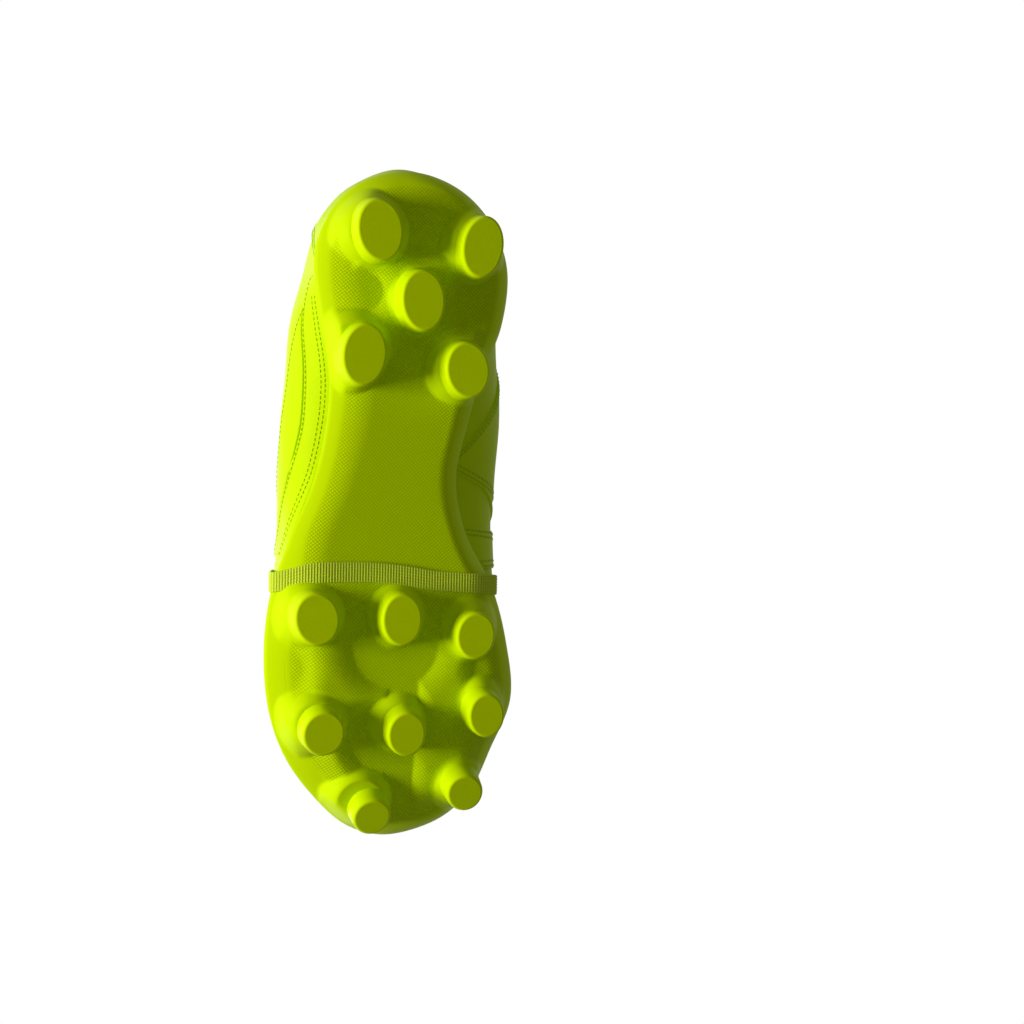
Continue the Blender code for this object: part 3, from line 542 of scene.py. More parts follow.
def stitch_edges(group, grid, normals, edges, offsets):
    """Rows of stitches at the given distances from edges of a grid."""
    distances = edge_distances(grid)
    for edge in edges:
        others = [distances[name] for name in edges if name != edge]
        for offset in offsets:
            line, ways = [], []
            lengthwise = edge in ("low", "high")
            field = distances[edge].T if lengthwise else distances[edge]
            spots = grid.transpose(1, 0, 2) if lengthwise else grid
            turns = normals.transpose(1, 0, 2) if lengthwise else normals
            rest = [other.T if lengthwise else other for other in others]
            for row in range(len(field)):
                order = np.argsort(field[row])
                place = np.interp(offset, field[row][order], order)
                low = int(place)
                share = place - low
                high = min(low + 1, field.shape[1] - 1)
                if any(other[row, low] < offset - 0.1 for other in rest):
                    continue
                line.append(spots[row, low] * (1 - share) + spots[row, high] * share)
                ways.append(turns[row, low])
            if len(line) > 2:
                stitch_line(group, np.array(line), np.array(ways))


# ---------------------------------------------------------------- materials

def add_node(tree, kind, inputs=None, **settings):
    """Node whose inputs are numbers, colours or the outputs of other nodes."""
    made = tree.nodes.new(kind)
    for key, value in settings.items():
        setattr(made, key, value)
    for key, value in (inputs or {}).items():
        if isinstance(value, bpy.types.NodeSocket):
            tree.links.new(value, made.inputs[key])
        else:
            made.inputs[key].default_value = value
    return made


def compute(tree, operation, a, b=0.0, c=0.0):
    return add_node(tree, "ShaderNodeMath", {0: a, 1: b, 2: c}, operation=operation).outputs[0]


def attribute(tree, name):
    return add_node(tree, "ShaderNodeAttribute", attribute_name=name).outputs["Fac"]


def object_place(tree):
    """Place on the piece in millimetres: the vector and its three parts."""
    place = add_node(tree, "ShaderNodeTexCoord").outputs["Object"]
    scaled = add_node(tree, "ShaderNodeVectorMath", {0: place, 3: 1 / MM}, operation="SCALE")
    parts = add_node(tree, "ShaderNodeSeparateXYZ", {0: scaled.outputs[0]})
    return scaled.outputs[0], list(parts.outputs)


def noise(tree, vector, scale, detail=2.0):
    return add_node(tree, "ShaderNodeTexNoise", {"Vector": vector, "Scale": scale,
                                                 "Detail": detail}).outputs["Fac"]


def mix_colour(tree, share, a, b):
    made = add_node(tree, "ShaderNodeMix", data_type="RGBA")
    for socket, value in ((made.inputs[0], share), (made.inputs[6], a), (made.inputs[7], b)):
        if isinstance(value, bpy.types.NodeSocket):
            tree.links.new(value, socket)
        else:
            socket.default_value = (*value, 1.0) if isinstance(value, tuple) else value
    return made.outputs[2]


def shade(colour, factor):
    return tuple(part * factor for part in colour)


def bump(tree, height, distance, normal=None):
    inputs = {"Height": height, "Distance": distance * MM, "Strength": 1.0}
    if normal is not None:
        inputs["Normal"] = normal
    return add_node(tree, "ShaderNodeBump", inputs).outputs[0]


def start_material(name):
    material = bpy.data.materials.new(name)
    material.use_nodes = True
    return material, material.node_tree, material.node_tree.nodes["Principled BSDF"]


def finish_material(tree, shader, colour, roughness, normal, specular=0.12, tint=NEON_SOLE):
    """Link what varies and set what is the same all over."""
    tree.links.new(colour, shader.inputs["Base Color"])
    if isinstance(roughness, bpy.types.NodeSocket):
        tree.links.new(roughness, shader.inputs["Roughness"])
    else:
        shader.inputs["Roughness"].default_value = roughness
    if normal is not None:
        tree.links.new(normal, shader.inputs["Normal"])
    shader.inputs["Specular IOR Level"].default_value = specular
    shader.inputs["Specular Tint"].default_value = (*tint, 1.0)


def add_sheen(shader, colour):
    """The faint bloom of a textile."""
    shader.inputs["Sheen Weight"].default_value = 0.04
    shader.inputs["Sheen Tint"].default_value = (*colour, 1.0)


def diamonds(tree, parts, pitch, turns):
    """Height of a fine knurl whose two sets of grooves run across the turns, in degrees."""
    waves = []
    for turn in turns:
        along, aside = math.cos(math.radians(turn)), math.sin(math.radians(turn))
        line = compute(tree, "ADD", compute(tree, "MULTIPLY", parts[0], along * math.pi / pitch),
                       compute(tree, "MULTIPLY", parts[1], aside * math.pi / pitch))
        waves.append(compute(tree, "ABSOLUTE", compute(tree, "SINE", line)))
    product = compute(tree, "MULTIPLY", waves[0], waves[1])
    return compute(tree, "POWER", product, 0.5)


def masked(tree, relief, name):
    """Relief where an attribute is 1, and a flat face at its top where it is 0."""
    share = attribute(tree, name)
    return compute(tree, "ADD", compute(tree, "MULTIPLY", relief, share),
                   compute(tree, "SUBTRACT", 1.0, share))


def sole_material():
    """Satin moulded plastic with a knurl where the attribute asks for it, and painted shade in the
    knurl's grooves.
    """
    material, tree, shader = start_material("moulded_sole")
    vector, parts = object_place(tree)
    height = masked(tree, diamonds(tree, parts, KNURL_PITCH, KNURL_TURNS), "knurl")
    base = mix_colour(tree, noise(tree, vector, 0.03), shade(NEON_SOLE, 0.97), NEON_SOLE)
    # Painted shade: the knurl's grooves are darkened to 0.74 of the plastic's colour.
    colour = mix_colour(tree, height, shade(NEON_SOLE, 0.74), base)
    fine = bump(tree, noise(tree, vector, 6.0, 3.0), 0.012)
    rough = compute(tree, "MULTIPLY_ADD", noise(tree, vector, 0.2), 0.12, 0.44)
    finish_material(tree, shader, colour, rough, bump(tree, height, 0.17, fine))
    return material


def tip_material():
    """Moulded plastic with fine dots on the end of the stud, and painted shade between the dots."""
    material, tree, shader = start_material("moulded_studs")
    vector, parts = object_place(tree)
    height = masked(tree, diamonds(tree, parts, DOT_PITCH, DOT_TURNS), "face")
    # Painted shade: the hollows between the dots are darkened to 0.84 of the plastic's colour.
    colour = mix_colour(tree, height, shade(NEON_TIP, 0.84), NEON_TIP)
    fine = bump(tree, noise(tree, vector, 5.0, 3.0), 0.01)
    rough = compute(tree, "MULTIPLY_ADD", noise(tree, vector, 0.3), 0.12, 0.42)
    finish_material(tree, shader, colour, rough, bump(tree, height, 0.07, fine))
    return material


def groove(tree, distance, middle, width):
    """A soft line at a given distance from an edge: 1 in its middle, 0 away from it."""
    off = compute(tree, "DIVIDE", compute(tree, "SUBTRACT", distance, middle), width)
    return compute(tree, "EXPONENT", compute(tree, "MULTIPLY", compute(tree, "MULTIPLY", off, off),
                                             -1.0))


def leather_material(name, colour, rows=(1.6, 3.8), rough=0.43):
    """Smooth dyed leather with a fine grain, pulled down along its rows of stitches, with painted
    shade in those grooves.
    """
    material, tree, shader = start_material(name)
    vector, _ = object_place(tree)
    cells = add_node(tree, "ShaderNodeTexVoronoi", {"Vector": vector, "Scale": 1.15,
                                                    "Randomness": 0.9}, feature="SMOOTH_F1")
    grain = compute(tree, "ADD", cells.outputs["Distance"],
                    compute(tree, "MULTIPLY", noise(tree, vector, 0.5, 4.0), 0.7))
    pull = 0.0
    for row in rows:
        pull = compute(tree, "ADD", pull, groove(tree, attribute(tree, "edge"), row, 0.33))
    seam = compute(tree, "SUBTRACT", 1.0, compute(tree, "MINIMUM", pull, 1.0))
    tone = mix_colour(tree, noise(tree, vector, 0.045, 3.0), shade(colour, 0.93), colour)
    # Painted shade: the leather is darkened in the groove along each row of stitches.
    tone = mix_colour(tree, compute(tree, "MULTIPLY_ADD", seam, 0.38, 0.62),
                      shade(colour, 0.55), tone)
    surface = bump(tree, grain, 0.05)
    surface = bump(tree, seam, 0.16, surface)
    rough_at = compute(tree, "MULTIPLY_ADD", noise(tree, vector, 0.15), 0.14, rough)
    finish_material(tree, shader, tone, rough_at, surface, 0.14, colour)
    return material


def thread_material():
    material, tree, shader = start_material("thread")
    _, parts = object_place(tree)
    twist = compute(tree, "SINE", compute(tree, "MULTIPLY", compute(tree, "ADD", parts[0],
                    compute(tree, "ADD", parts[1], parts[2])), 14.0))
    # Painted shade: the stitches darken towards their ends, where they sink into the needle holes.
    colour = mix_colour(tree, attribute(tree, "painted_hole_shade"), NEON_THREAD, shade(NEON_THREAD, 0.45))
    finish_material(tree, shader, colour, 0.6, bump(tree, twist, 0.04), 0.2)
    return material


def weave_material(name, colour, pitch, relief, painted_groove_shade=0.55, rough=0.78, edge_tone=None):
    """Textile whose threads follow the attributes along and aside, in millimetres, with painted
    shade in the grooves between threads.
    """
    material, tree, shader = start_material(name)
    vector, _ = object_place(tree)
    waves = []
    for key in ("along", "aside"):
        turn = compute(tree, "MULTIPLY", attribute(tree, key), math.pi / pitch)
        waves.append(compute(tree, "ABSOLUTE", compute(tree, "SINE", turn)))
    height = compute(tree, "POWER", compute(tree, "MULTIPLY", waves[0], waves[1]), 0.6)
    height = compute(tree, "ADD", height,
                     compute(tree, "MULTIPLY", noise(tree, vector, 3.0, 3.0), 0.25))
    tone = mix_colour(tree, noise(tree, vector, 0.08), shade(colour, 0.93), colour)
    # Painted shade: the grooves between threads are darkened by the given factor.
    tone = mix_colour(tree, height, shade(colour, painted_groove_shade), tone)
    if edge_tone is not None:
        tone = mix_colour(tree, attribute(tree, "border"), tone, edge_tone)
    finish_material(tree, shader, tone, rough, bump(tree, height, relief), 0.15, colour)
    add_sheen(shader, colour)
    return material


def rib_material(name, colour):
    """Woven elastic: the ribs are in the mesh, the yarn is fine bump, and painted shade darkens the
    troughs between the ribs.
    """
    material, tree, shader = start_material(name)
    vector, _ = object_place(tree)
    yarn = compute(tree, "SINE", compute(tree, "MULTIPLY", attribute(tree, "along"),
                                         2 * math.pi / 0.42))
    height = compute(tree, "MULTIPLY_ADD", noise(tree, vector, 5.0, 3.0), 0.6,
                     compute(tree, "MULTIPLY", yarn, 0.2))
    # Painted shade: where crest is low, in the troughs between ribs and on the strap's inner face,
    # the colour is darkened to 0.66.
    tone = mix_colour(tree, attribute(tree, "crest"), shade(colour, 0.66), colour)
    finish_material(tree, shader, tone, 0.62, bump(tree, height, 0.05), 0.2, colour)
    add_sheen(shader, colour)
    return material


def plain_material(name, colour, scale, relief, rough, metallic=0.0, stretch=1.0):
    """Noise-grained finish for what is hidden inside: foam, fibre board, steel."""
    material, tree, shader = start_material(name)
    _, parts = object_place(tree)
    long = add_node(tree, "ShaderNodeCombineXYZ", {
        0: compute(tree, "MULTIPLY", parts[0], stretch), 1: parts[1], 2: parts[2]}).outputs[0]
    grain = noise(tree, long, scale, 4.0)
    tone = mix_colour(tree, grain, shade(colour, 0.8), shade(colour, 1.05))
    finish_material(tree, shader, tone, rough, bump(tree, grain, relief), 0.3, (1.0, 1.0, 1.0))
    shader.inputs["Metallic"].default_value = metallic
    return material


LOOKS = {}


def make_looks():
    LOOKS["sole"] = sole_material()
    LOOKS["tip"] = tip_material()
    LOOKS["leather"] = leather_material("upper_leather", NEON_UPPER)
    LOOKS["single"] = leather_material("upper_leather_single_row", NEON_UPPER, rows=(1.6,))
    LOOKS["flap"] = leather_material("flap_leather", NEON_UPPER, rows=(3.0,))
    LOOKS["thread"] = thread_material()
    LOOKS["mesh"] = weave_material("knitted_lining", NEON_TEXTILE, 1.1, 0.12, 0.42)
    LOOKS["cover"] = weave_material("sockliner_textile", NEON_TEXTILE, 0.7, 0.08, 0.6)
    LOOKS["webbing"] = weave_material("webbing", NEON_ELASTIC, 0.9, 0.16, 0.5,
                                      edge_tone=shade(NEON_ELASTIC, 1.12))
    LOOKS["lace"] = weave_material("braid", NEON_TEXTILE, 1.0, 0.18, 0.45)
    LOOKS["elastic"] = rib_material("ribbed_elastic", NEON_ELASTIC)
    LOOKS["foam"] = plain_material("foam", PALE_FOAM, 1.5, 0.2, 0.9)
    LOOKS["board"] = plain_material("fibre_board", DYED_BOARD, 1.0, 0.1, 0.85)
    LOOKS["steel"] = plain_material("shank_steel", STEEL, 2.0, 0.02, 0.35, 1.0, 0.05)


# ---------------------------------------------------------------- sole

STUDS = HEEL_STUDS + FORE_STUDS


def stud_distance(stud, x, y):
    """Distance outside the oval of a stud's foot, in plan."""
    middle, aside, half_width, half_length, turn = stud
    c, s = math.cos(math.radians(turn)), math.sin(math.radians(turn))
    dx, dy = x - (middle - plate_slope(middle) * STUD_HEIGHT), y - aside
    along, over = dx * c + dy * s, dy * c - dx * s
    size = np.hypot(along / (half_length + TIP_TAPER), over / (half_width + TIP_TAPER))
    return np.hypot(along, over) * (1 - 1 / np.maximum(size, 1e-6))


def dome_depth(stud, dome, x, y):
    """Distance inside the outline of a stud's dome, in plan."""
    ahead, aside, radius = dome
    root = stud[0] - plate_slope(stud[0]) * STUD_HEIGHT
    ring = radius - np.hypot(x - root - ahead, y - stud[1] - aside)
    return smooth_max(ring, DOME_SKIRT - stud_distance(stud, x, y), 2.0)


def hollow_side(hollow, x, y):
    """0 in a hollow, with a crease at its edge and a slope that levels out at 1."""
    middle, aside, radius, way, slope = hollow
    dx, dy = x - middle, y - aside
    run = np.maximum(dx * way[0] + dy * way[1], 0.0)
    away = np.hypot(dx - run * way[0], dy - run * way[1])
    return 1 - (1 - np.clip((away - radius) / slope, 0, 1)) ** 2


def land_height(x, y):
    """Raised lands between the studs, less the hollows in them."""
    height = np.zeros_like(x)
    for corners, reaches, tall, edge in LANDS:
        beyond = np.full_like(x, -FAR)
        for a, b, reach in zip(corners, corners[1:] + corners[:1], reaches):
            way = unit(np.subtract(b, a))
            side = way[1] * (x - a[0]) - way[0] * (y - a[1])
            beyond = smooth_max(beyond, side - reach, 3.0)
        height += tall * smoothstep(0.5 - beyond / edge)
    sides = [hollow_side(hollow, x, y) for hollow in HOLLOWS]
    return height * np.min(sides, axis=0)


def camber(x, y, inset):
    """How far the sole has risen towards its rim, as a share of the rim's height."""
    width = table(CAMBER_WIDTH, x) * (0.55 + 0.45 * smoothstep((y + 25) / 25))
    far = np.clip(1 - inset / width, 0, 1)
    return CAMBER_SHARE * far ** 2 + CAMBER_EDGE * np.clip(1 - inset / 1.5, 0, 1) ** 2


def sole_height(x, y, inset):
    """How far the sole stands below its plate, inset from its rim."""
    tall = table(RIM_HEIGHT, x)
    height = land_height(x, y) * smoothstep(inset / 6) - tall * camber(x, y, inset)
    drop = tall * (CAMBER_SHARE + CAMBER_EDGE) * np.clip(1 - inset / 6.5, 0, 1) ** 2
    for stud, dome in zip(STUDS, DOMES):
        depth = dome_depth(stud, dome, x, y)
        flank = np.clip(depth / DOME_FLANK, 0, 1)
        bulge = DOME_HEIGHT * (1 - (1 - flank) ** 1.3)
        bulge = np.where(depth < 0, depth * 1.4, bulge * smoothstep(inset / 5))
        height = smooth_max(height, bulge - drop, DOME_BLEND)
    return height


def outsole():
    """Moulded sole: knurled plate, lands and domes, cambered edge and the rim above it."""
    columns = 1100
    places = np.arange(columns) * LAPS / columns
    spine, edge = spine_point(places), rim_point(places, 1.5)
    rows, knurl = [], []

    def add(flat, z, rough):
        rows.append(np.column_stack([flat, z]))
        knurl.append(rough)

    def add_relief(flat, inset):
        x, y = flat[:, 0], flat[:, 1]
        band = 5.0 + 4.0 * smoothstep((x - 10) / 25) * smoothstep((y - 8) / 12)
        rough = smoothstep((inset - band) / 3)
        for stud, dome in zip(STUDS, DOMES):
            rough = rough * (1 - smoothstep(dome_depth(stud, dome, x, y) + 0.4))
        add(flat, plate_z(x) - sole_height(x, y, inset), rough)

    for share in np.linspace(0, 1, 64):
        flat = spine * (1 - share) + edge * share
        add_relief(flat, 1.5 + (1 - share) * np.linalg.norm(edge - spine, axis=1))
    for inset in (1.15, 0.8, 0.5, 0.25, 0.08, 0.0):
        add_relief(rim_point(places, inset), np.full(columns, inset))
    smooth = np.zeros(columns)
    low = CAMBER_SHARE + CAMBER_EDGE
    for turn in np.linspace(0, math.pi / 2, 6)[1:]:
        flat = rim_point(places, 0.6 * (1 - math.cos(turn)))
        share = low + (1 - low) * math.sin(turn)
        add(flat, plate_z(flat[:, 0]) + table(RIM_HEIGHT, flat[:, 0]) * share, smooth)
    for inset in (1.5, 7.9):
        flat = rim_point(places, inset)
        add(flat, rim_z(flat[:, 0]), smooth)
    for flat in (rim_point(places, 8.1), (spine + edge) / 2, spine):
        add(flat, plate_z(flat[:, 0]) + PLATE, smooth)
    points = np.concatenate(rows)
    return piece("sole_plate", points, grid_faces(len(rows), columns, wrap=True), LOOKS["sole"],
                 ["outsole"], values={"knurl": np.concatenate(knurl)})


def stud_matrix(stud):
    """Place of a stud: z = 0 on the plate and z pointing to the ground."""
    x, y, _, _, turn = stud
    slope = float(plate_slope(x))
    axis = np.array([slope, 0, -1.0]) / math.hypot(slope, 1)
    root_x = x - axis[0] * STUD_HEIGHT
    root = Vector((root_x, y, float(plate_z(root_x))))
    tilt = Matrix.Rotation(math.atan2(-axis[0], -axis[2]), 4, "Y")
    flip = Matrix.Rotation(math.pi, 4, "X")
    spin = Matrix.Rotation(math.radians(turn), 4, "Z")
    return np.array(Matrix.Translation(root) @ tilt @ spin @ flip)


def stud_tip(name, stud):
    """Oval stud with a tapered wall, a rounded edge and a flat end."""
    _, _, half_width, half_length, _ = stud
    lip, hidden = 1.3, 1.0
    taper = TIP_TAPER / (STUD_HEIGHT - DOME_HEIGHT)
    profile = [(taper * (STUD_HEIGHT - height), height, 0.0)
               for height in np.linspace(hidden, STUD_HEIGHT - lip, 8)]
    profile += [(lip * (math.cos(turn) - 1), STUD_HEIGHT - lip + lip * math.sin(turn), 0.0)
                for turn in np.linspace(0, math.pi / 2, 7)[1:]]
    rings, face = [], []
    turns = np.linspace(0, 2 * math.pi, 64, endpoint=False)
    matrix = stud_matrix(stud)

    def ring(length, width, height, flag):
        spots = np.stack([length * np.cos(turns), width * np.sin(turns),
                          np.full_like(turns, height), np.ones_like(turns)])
        rings.append((matrix @ spots).T[:, :3])
        face.append(np.full(len(turns), flag))

    ring(0.0, 0.0, hidden, 0.0)
    for grow, height, flag in profile:
        ring(half_length + grow, half_width + grow, height, flag)
    for share in (0.97, 0.8, 0.5, 0.25, 0.0):
        ring((half_length - lip) * share, (half_width - lip) * share, STUD_HEIGHT, 1.0)
    points = np.concatenate(rings)
    return piece(f"stud_{name}", points, grid_faces(len(rings), len(turns), wrap=True),
                 LOOKS["tip"], [f"stud_tip_{name}"],
                 values={"face": np.concatenate(face)}, crease=60)


def studs():
    for group, members in (("heel", HEEL_STUDS), ("fore", FORE_STUDS)):
        for number, stud in enumerate(members, start=1):
            stud_tip(f"{group}_{number}", stud)


# ---------------------------------------------------------------- upper

def always(value):
    return lambda place: np.zeros_like(np.asarray(place, float)) + value


def spacing(length_at, step, fine):
    """Fractions 0 to 1 that are step apart in millimetres and closer by both ends."""
    total = length_at[-1]
    count = max(2, int((total - 2 * fine[-1]) / step))
    middle = np.linspace(fine[-1], total - fine[-1], count + 1)[1:-1]
    places = np.concatenate([fine, middle, (total - np.array(fine))[::-1]])
    return np.interp(places, length_at, np.linspace(0, 1, len(length_at)))


def panel_grid(edges, heights, step, even=False, fine=(0, 0.12, 0.35, 0.7, 1.1)):
    """Places u and v of a panel, closer together near its edges; even mirrors the columns."""
    def place(a, b):
        v = heights[0](a) + (heights[1](a) - heights[0](a)) * b
        return edges[0](v) + (edges[1](v) - edges[0](v)) * a, v

    coarse = np.linspace(0, 1, 33)
    along, up = np.meshgrid(coarse, coarse)
    spots = skin(*place(along, up))
    a = spacing(runs(spots, 1).mean(axis=0), step, fine)
    if even:
        a = (a + 1 - a[::-1]) / 2
    b = spacing(runs(spots, 0).mean(axis=1), step, fine)
    along, up = np.meshgrid(a, b)
    return place(along, up)


def panel(name, nodes, edges, heights, outer, inner, look="leather", stitched=(),
          offsets=(1.6, 3.8), group="upper", slot="overlay", step=1.5, roll=0.9, rolled=None,
          fold=False, lift=None):
    """Sheet of the upper between two depths, with rounded edges and rows of stitches."""
    u, v = panel_grid(edges, heights, step, even=fold)
    grid, normals = skin(u, v), shell_normal(u, v)
    distances = edge_distances(grid)
    if fold:
        # Ahead of the throat the two top edges meet, so there is no edge to round.
        ahead = smoothstep((station(u[-1]) - THROAT) / FOLD_FADE)
        distances["high"] = distances["high"] + roll * ahead
    if rolled is None:
        rolled = ("start", "stop", "low", "high")
    nearest = np.min([distances[edge] for edge in rolled], axis=0)
    depth = outer + rounding(nearest, roll)
    if lift is not None:
        depth = depth - lift(u, v, distances)
    outside = grid - normals * depth[..., None]
    deep = inner(u, v) if callable(inner) else inner
    inside = grid - normals * (np.zeros_like(u) + deep)[..., None]
    edge = np.full_like(u, FAR)
    if stitched:
        edge = np.min([distances[name] for name in stitched], axis=0)
        stitch_edges(group, outside, normals, stitched, offsets)
    folded = (station(u[-1]) >= THROAT) if fold else None
    if fold:
        # The two halves share the points of the line where they meet.
        for sheet in (outside, inside):
            middle = (sheet[-1] + sheet[-1, ::-1]) / 2
            sheet[-1, folded] = middle[folded]
    points, faces = close_sheet(outside, inside, folded)
    values = twice(edge=edge, along=distances["start"], aside=distances["low"])
    if fold:
        points, faces, kept = weld(points, faces)
        values = {key: value[kept] for key, value in values.items()}
    return piece(name, points, faces, LOOKS[look], nodes, values=values)


def seam_lateral(v):
    return 6.6 + 4.2 * np.asarray(v) ** 0.9


def seam_medial(v):
    return 7.6 + 3.2 * np.asarray(v) ** 1.1


def eyelet_cutters():
    """One object with a short rod through each lace hole."""
    points, faces = [], []
    sides = 20
    for side in (1, -1):
        for row in range(EYELET_ROWS):
            middle, normal = eyelet(side, row)
            first = unit(np.cross(normal, [0.0, 0.0, 1.0]))
            second = np.cross(normal, first)
            start = len(points)
            for reach in (-6, 6):
                for turn in np.linspace(0, 2 * math.pi, sides, endpoint=False):
                    points.append(middle + normal * reach
                                  + HOLE_RADIUS * (first * math.cos(turn) + second * math.sin(turn)))
            faces += tube_faces(2, sides, start)
    mesh = bpy.data.meshes.new("eyelet_cutters")
    mesh.from_pydata(world(points).tolist(), [], faces)
    bm = bmesh.new()
    bm.from_mesh(mesh)
    bmesh.ops.recalc_face_normals(bm, faces=bm.faces)
    bm.to_mesh(mesh)
    bm.free()
    obj = bpy.data.objects.new("eyelet_cutters", mesh)
    bpy.context.scene.collection.objects.link(obj)
    return obj


def apply_modifiers(obj):
    """Replace an object's mesh with the mesh that its modifiers make."""
    depsgraph = bpy.context.evaluated_depsgraph_get()
    mesh = bpy.data.meshes.new_from_object(obj.evaluated_get(depsgraph))
    obj.modifiers.clear()
    obj.data = mesh


def punch(objects):
    """Cut the lace holes through panels."""
    cutters = eyelet_cutters()
    for obj in objects:
        cut = obj.modifiers.new("holes", "BOOLEAN")
        cut.operation = "DIFFERENCE"
        cut.solver = "EXACT"
        cut.object = cutters
        apply_modifiers(obj)
    bpy.data.objects.remove(cutters)


def upper_panels():
    """Vamp, quarters and the overlays stitched on them."""
    def over_vamp(edge):
        """The quarters ride over the vamp by their front edges."""
        return lambda u, v, distances: 1.0 * (1 - smoothstep(distances[edge] / 7))

    panel("toe_vamp", ["vamp"],
          (lambda v: seam_lateral(v) - 0.3, lambda v: LAPS - seam_medial(v) + 0.3),
          (always(0), always(1)), 0.0, LEATHER, slot="leather", fold=True, rolled=("high",))
    front = {"outer": 0.0, "inner": LEATHER * 0.6, "slot": "leather"}
    side_a = panel("outer_quarter", ["quarter_lateral"],
                   (always(0.02), seam_lateral), (always(0), always(1)),
                   rolled=("stop", "high"), lift=over_vamp("stop"), **front)
    side_b = panel("inner_quarter", ["quarter_medial"],
                   (lambda v: LAPS - seam_medial(v), always(LAPS - 0.02)), (always(0), always(1)),
                   rolled=("start", "high"), lift=over_vamp("start"), **front)
    for back in (0.085, 0.20):
        outer = [(seam_lateral(v) - back, v) for v in (0.76, 0.82, 0.88, 0.94, 0.985)]
        inner = [(LAPS - seam_medial(v) + back, v) for v in (0.79, 0.84, 0.89, 0.94, 0.985)]
        stitch_course("upper", outer, 0.8, 0.0)
        stitch_course("upper", inner, 0.8, 0.0)
    over = {"outer": -1.25, "inner": 0.2}
    panel("heel_overlay", ["heel_cap"],
          (lambda v: LAPS - 3.9 + 2.2 * v, lambda v: LAPS + 3.9 - 2.2 * v),
          (always(0.0), always(0.86)), stitched=("start", "stop", "high"), group="heel", **over)
    stays = [panel(name, [node], (always(start), always(stop)), (always(0.80), always(0.985)),
                   stitched=("low", "start", "stop"), offsets=(1.7,), look="single",
                   group="lacing", step=1.0, outer=-2.0, inner=-0.6)
             for name, node, start, stop in (
                 ("outer_eyestay", "eyestay_lateral", 6.75, 9.95),
                 ("inner_eyestay", "eyestay_medial", LAPS - 10.1, LAPS - 6.75))]
    punch([side_a, side_b, *stays])


def stitch_course(group, course, depth, shift):
    """Row of stitches over the upper through (u, v) knots."""
    u, v = spline(np.array(course), np.linspace(0, len(course) - 1, 240)).T
    tall = np.linalg.norm(skin(u, v + 0.01) - skin(u, v), axis=-1) / 0.01
    v = v + shift / tall
    normals = shell_normal(u, v)
    stitch_line(group, skin(u, v) + normals * depth, normals)


def side_overlays():
    stop = 9.5

    def line(heights, start, shift):
        return lambda a: table(heights, start + (stop - start) * np.asarray(a)) + shift

    over = {"outer": -0.95, "inner": 0.2, "roll": 0.6}
    panel("outer_band_1", ["side_band_lateral_1"], (always(4.1), always(stop)),
          (line(HEM_LINE, 4.1, -0.045), line(MIDDLE_LINE, 4.1, -0.003)), stitched=("high",),
          offsets=(1.3,), look="single", group="outer", **over)
    for shift in (0.0, 2.1):
        stitch_course("outer", SOLE_ROW, 0.95, shift)
    panel("outer_band_2", ["side_band_lateral_2"], (always(4.72), always(stop)),
          (line(MIDDLE_LINE, 4.72, 0.004), line(UPPER_LINE, 4.72, -0.004)), stitched=("high",),
          offsets=(1.9,), look="single", group="outer", **over)
    panel("inner_panel", ["side_panel_medial"],
          (lambda v: LAPS - 7.8 - 1.7 * v, lambda v: LAPS - 7.5 + 4.0 * v),
          (always(0.0), always(0.77)), stitched=("start", "stop", "high"), group="inner", **over)
    panel("inner_band", ["side_band_medial"],
          (lambda v: LAPS - 9.6 - 0.5 * v, lambda v: LAPS - 8.8 - 0.7 * v),
          (always(0.0), always(0.77)), stitched=("start", "stop", "high"), group="inner", **over)


def linings():
    """Knitted linings of the heel and the toe."""
    panel("heel_lining", ["quarter_lining"], (always(LAPS - 10.0), always(LAPS + 10.0)),
          (always(0.03), lambda a: 0.66 + 0.32 * smoothstep((np.abs(a - 0.5) - 0.34) / 0.06)),
          LINING_DEPTH, LINING_DEPTH + 0.9, look="mesh", slot="lining", step=2.5, roll=0.4)
    panel("toe_lining", ["vamp_lining"], (always(10.24), always(LAPS - 10.24)),
          (always(0.03), lambda a: 0.84 + 0.16 * smoothstep(np.minimum(a, 1 - a) / 0.12)),
          LINING_DEPTH, lambda u, v: LINING_DEPTH + 0.9 + 2.2 * smoothstep(station(u) - 11.6)
          * smoothstep(v / 0.3), look="mesh", slot="lining", step=3.0, roll=0.4, fold=True)


def collar_pad():
    """Foam-filled collar, fullest along its middle."""
    u, v = panel_grid((always(LAPS - 6.5), always(LAPS + 6.5)), (always(0.63), always(0.985)), 1.6)
    grid, normals = skin(u, v), skin_normal(u, v)
    distances = edge_distances(grid)
    swell = np.sqrt(np.clip(np.minimum(distances["low"], distances["high"]) / 9.0, 0, 1))
    swell = swell * np.sqrt(np.clip(np.minimum(distances["start"], distances["stop"]) / 9.0, 0, 1))
    outside = grid - normals * 2.4
    inside = grid - normals * (2.9 + 5.6 * np.sin(swell * math.pi / 2))[..., None]
    points, faces = close_sheet(outside, inside)
    values = twice(along=distances["start"], aside=distances["low"])
    pad = piece("collar_pad", points, faces, LOOKS["mesh"], ["collar_foam"],
                values=values, crease=70)
    stitch_line("collar", (grid - normals * 5.1)[2], -normals[2])


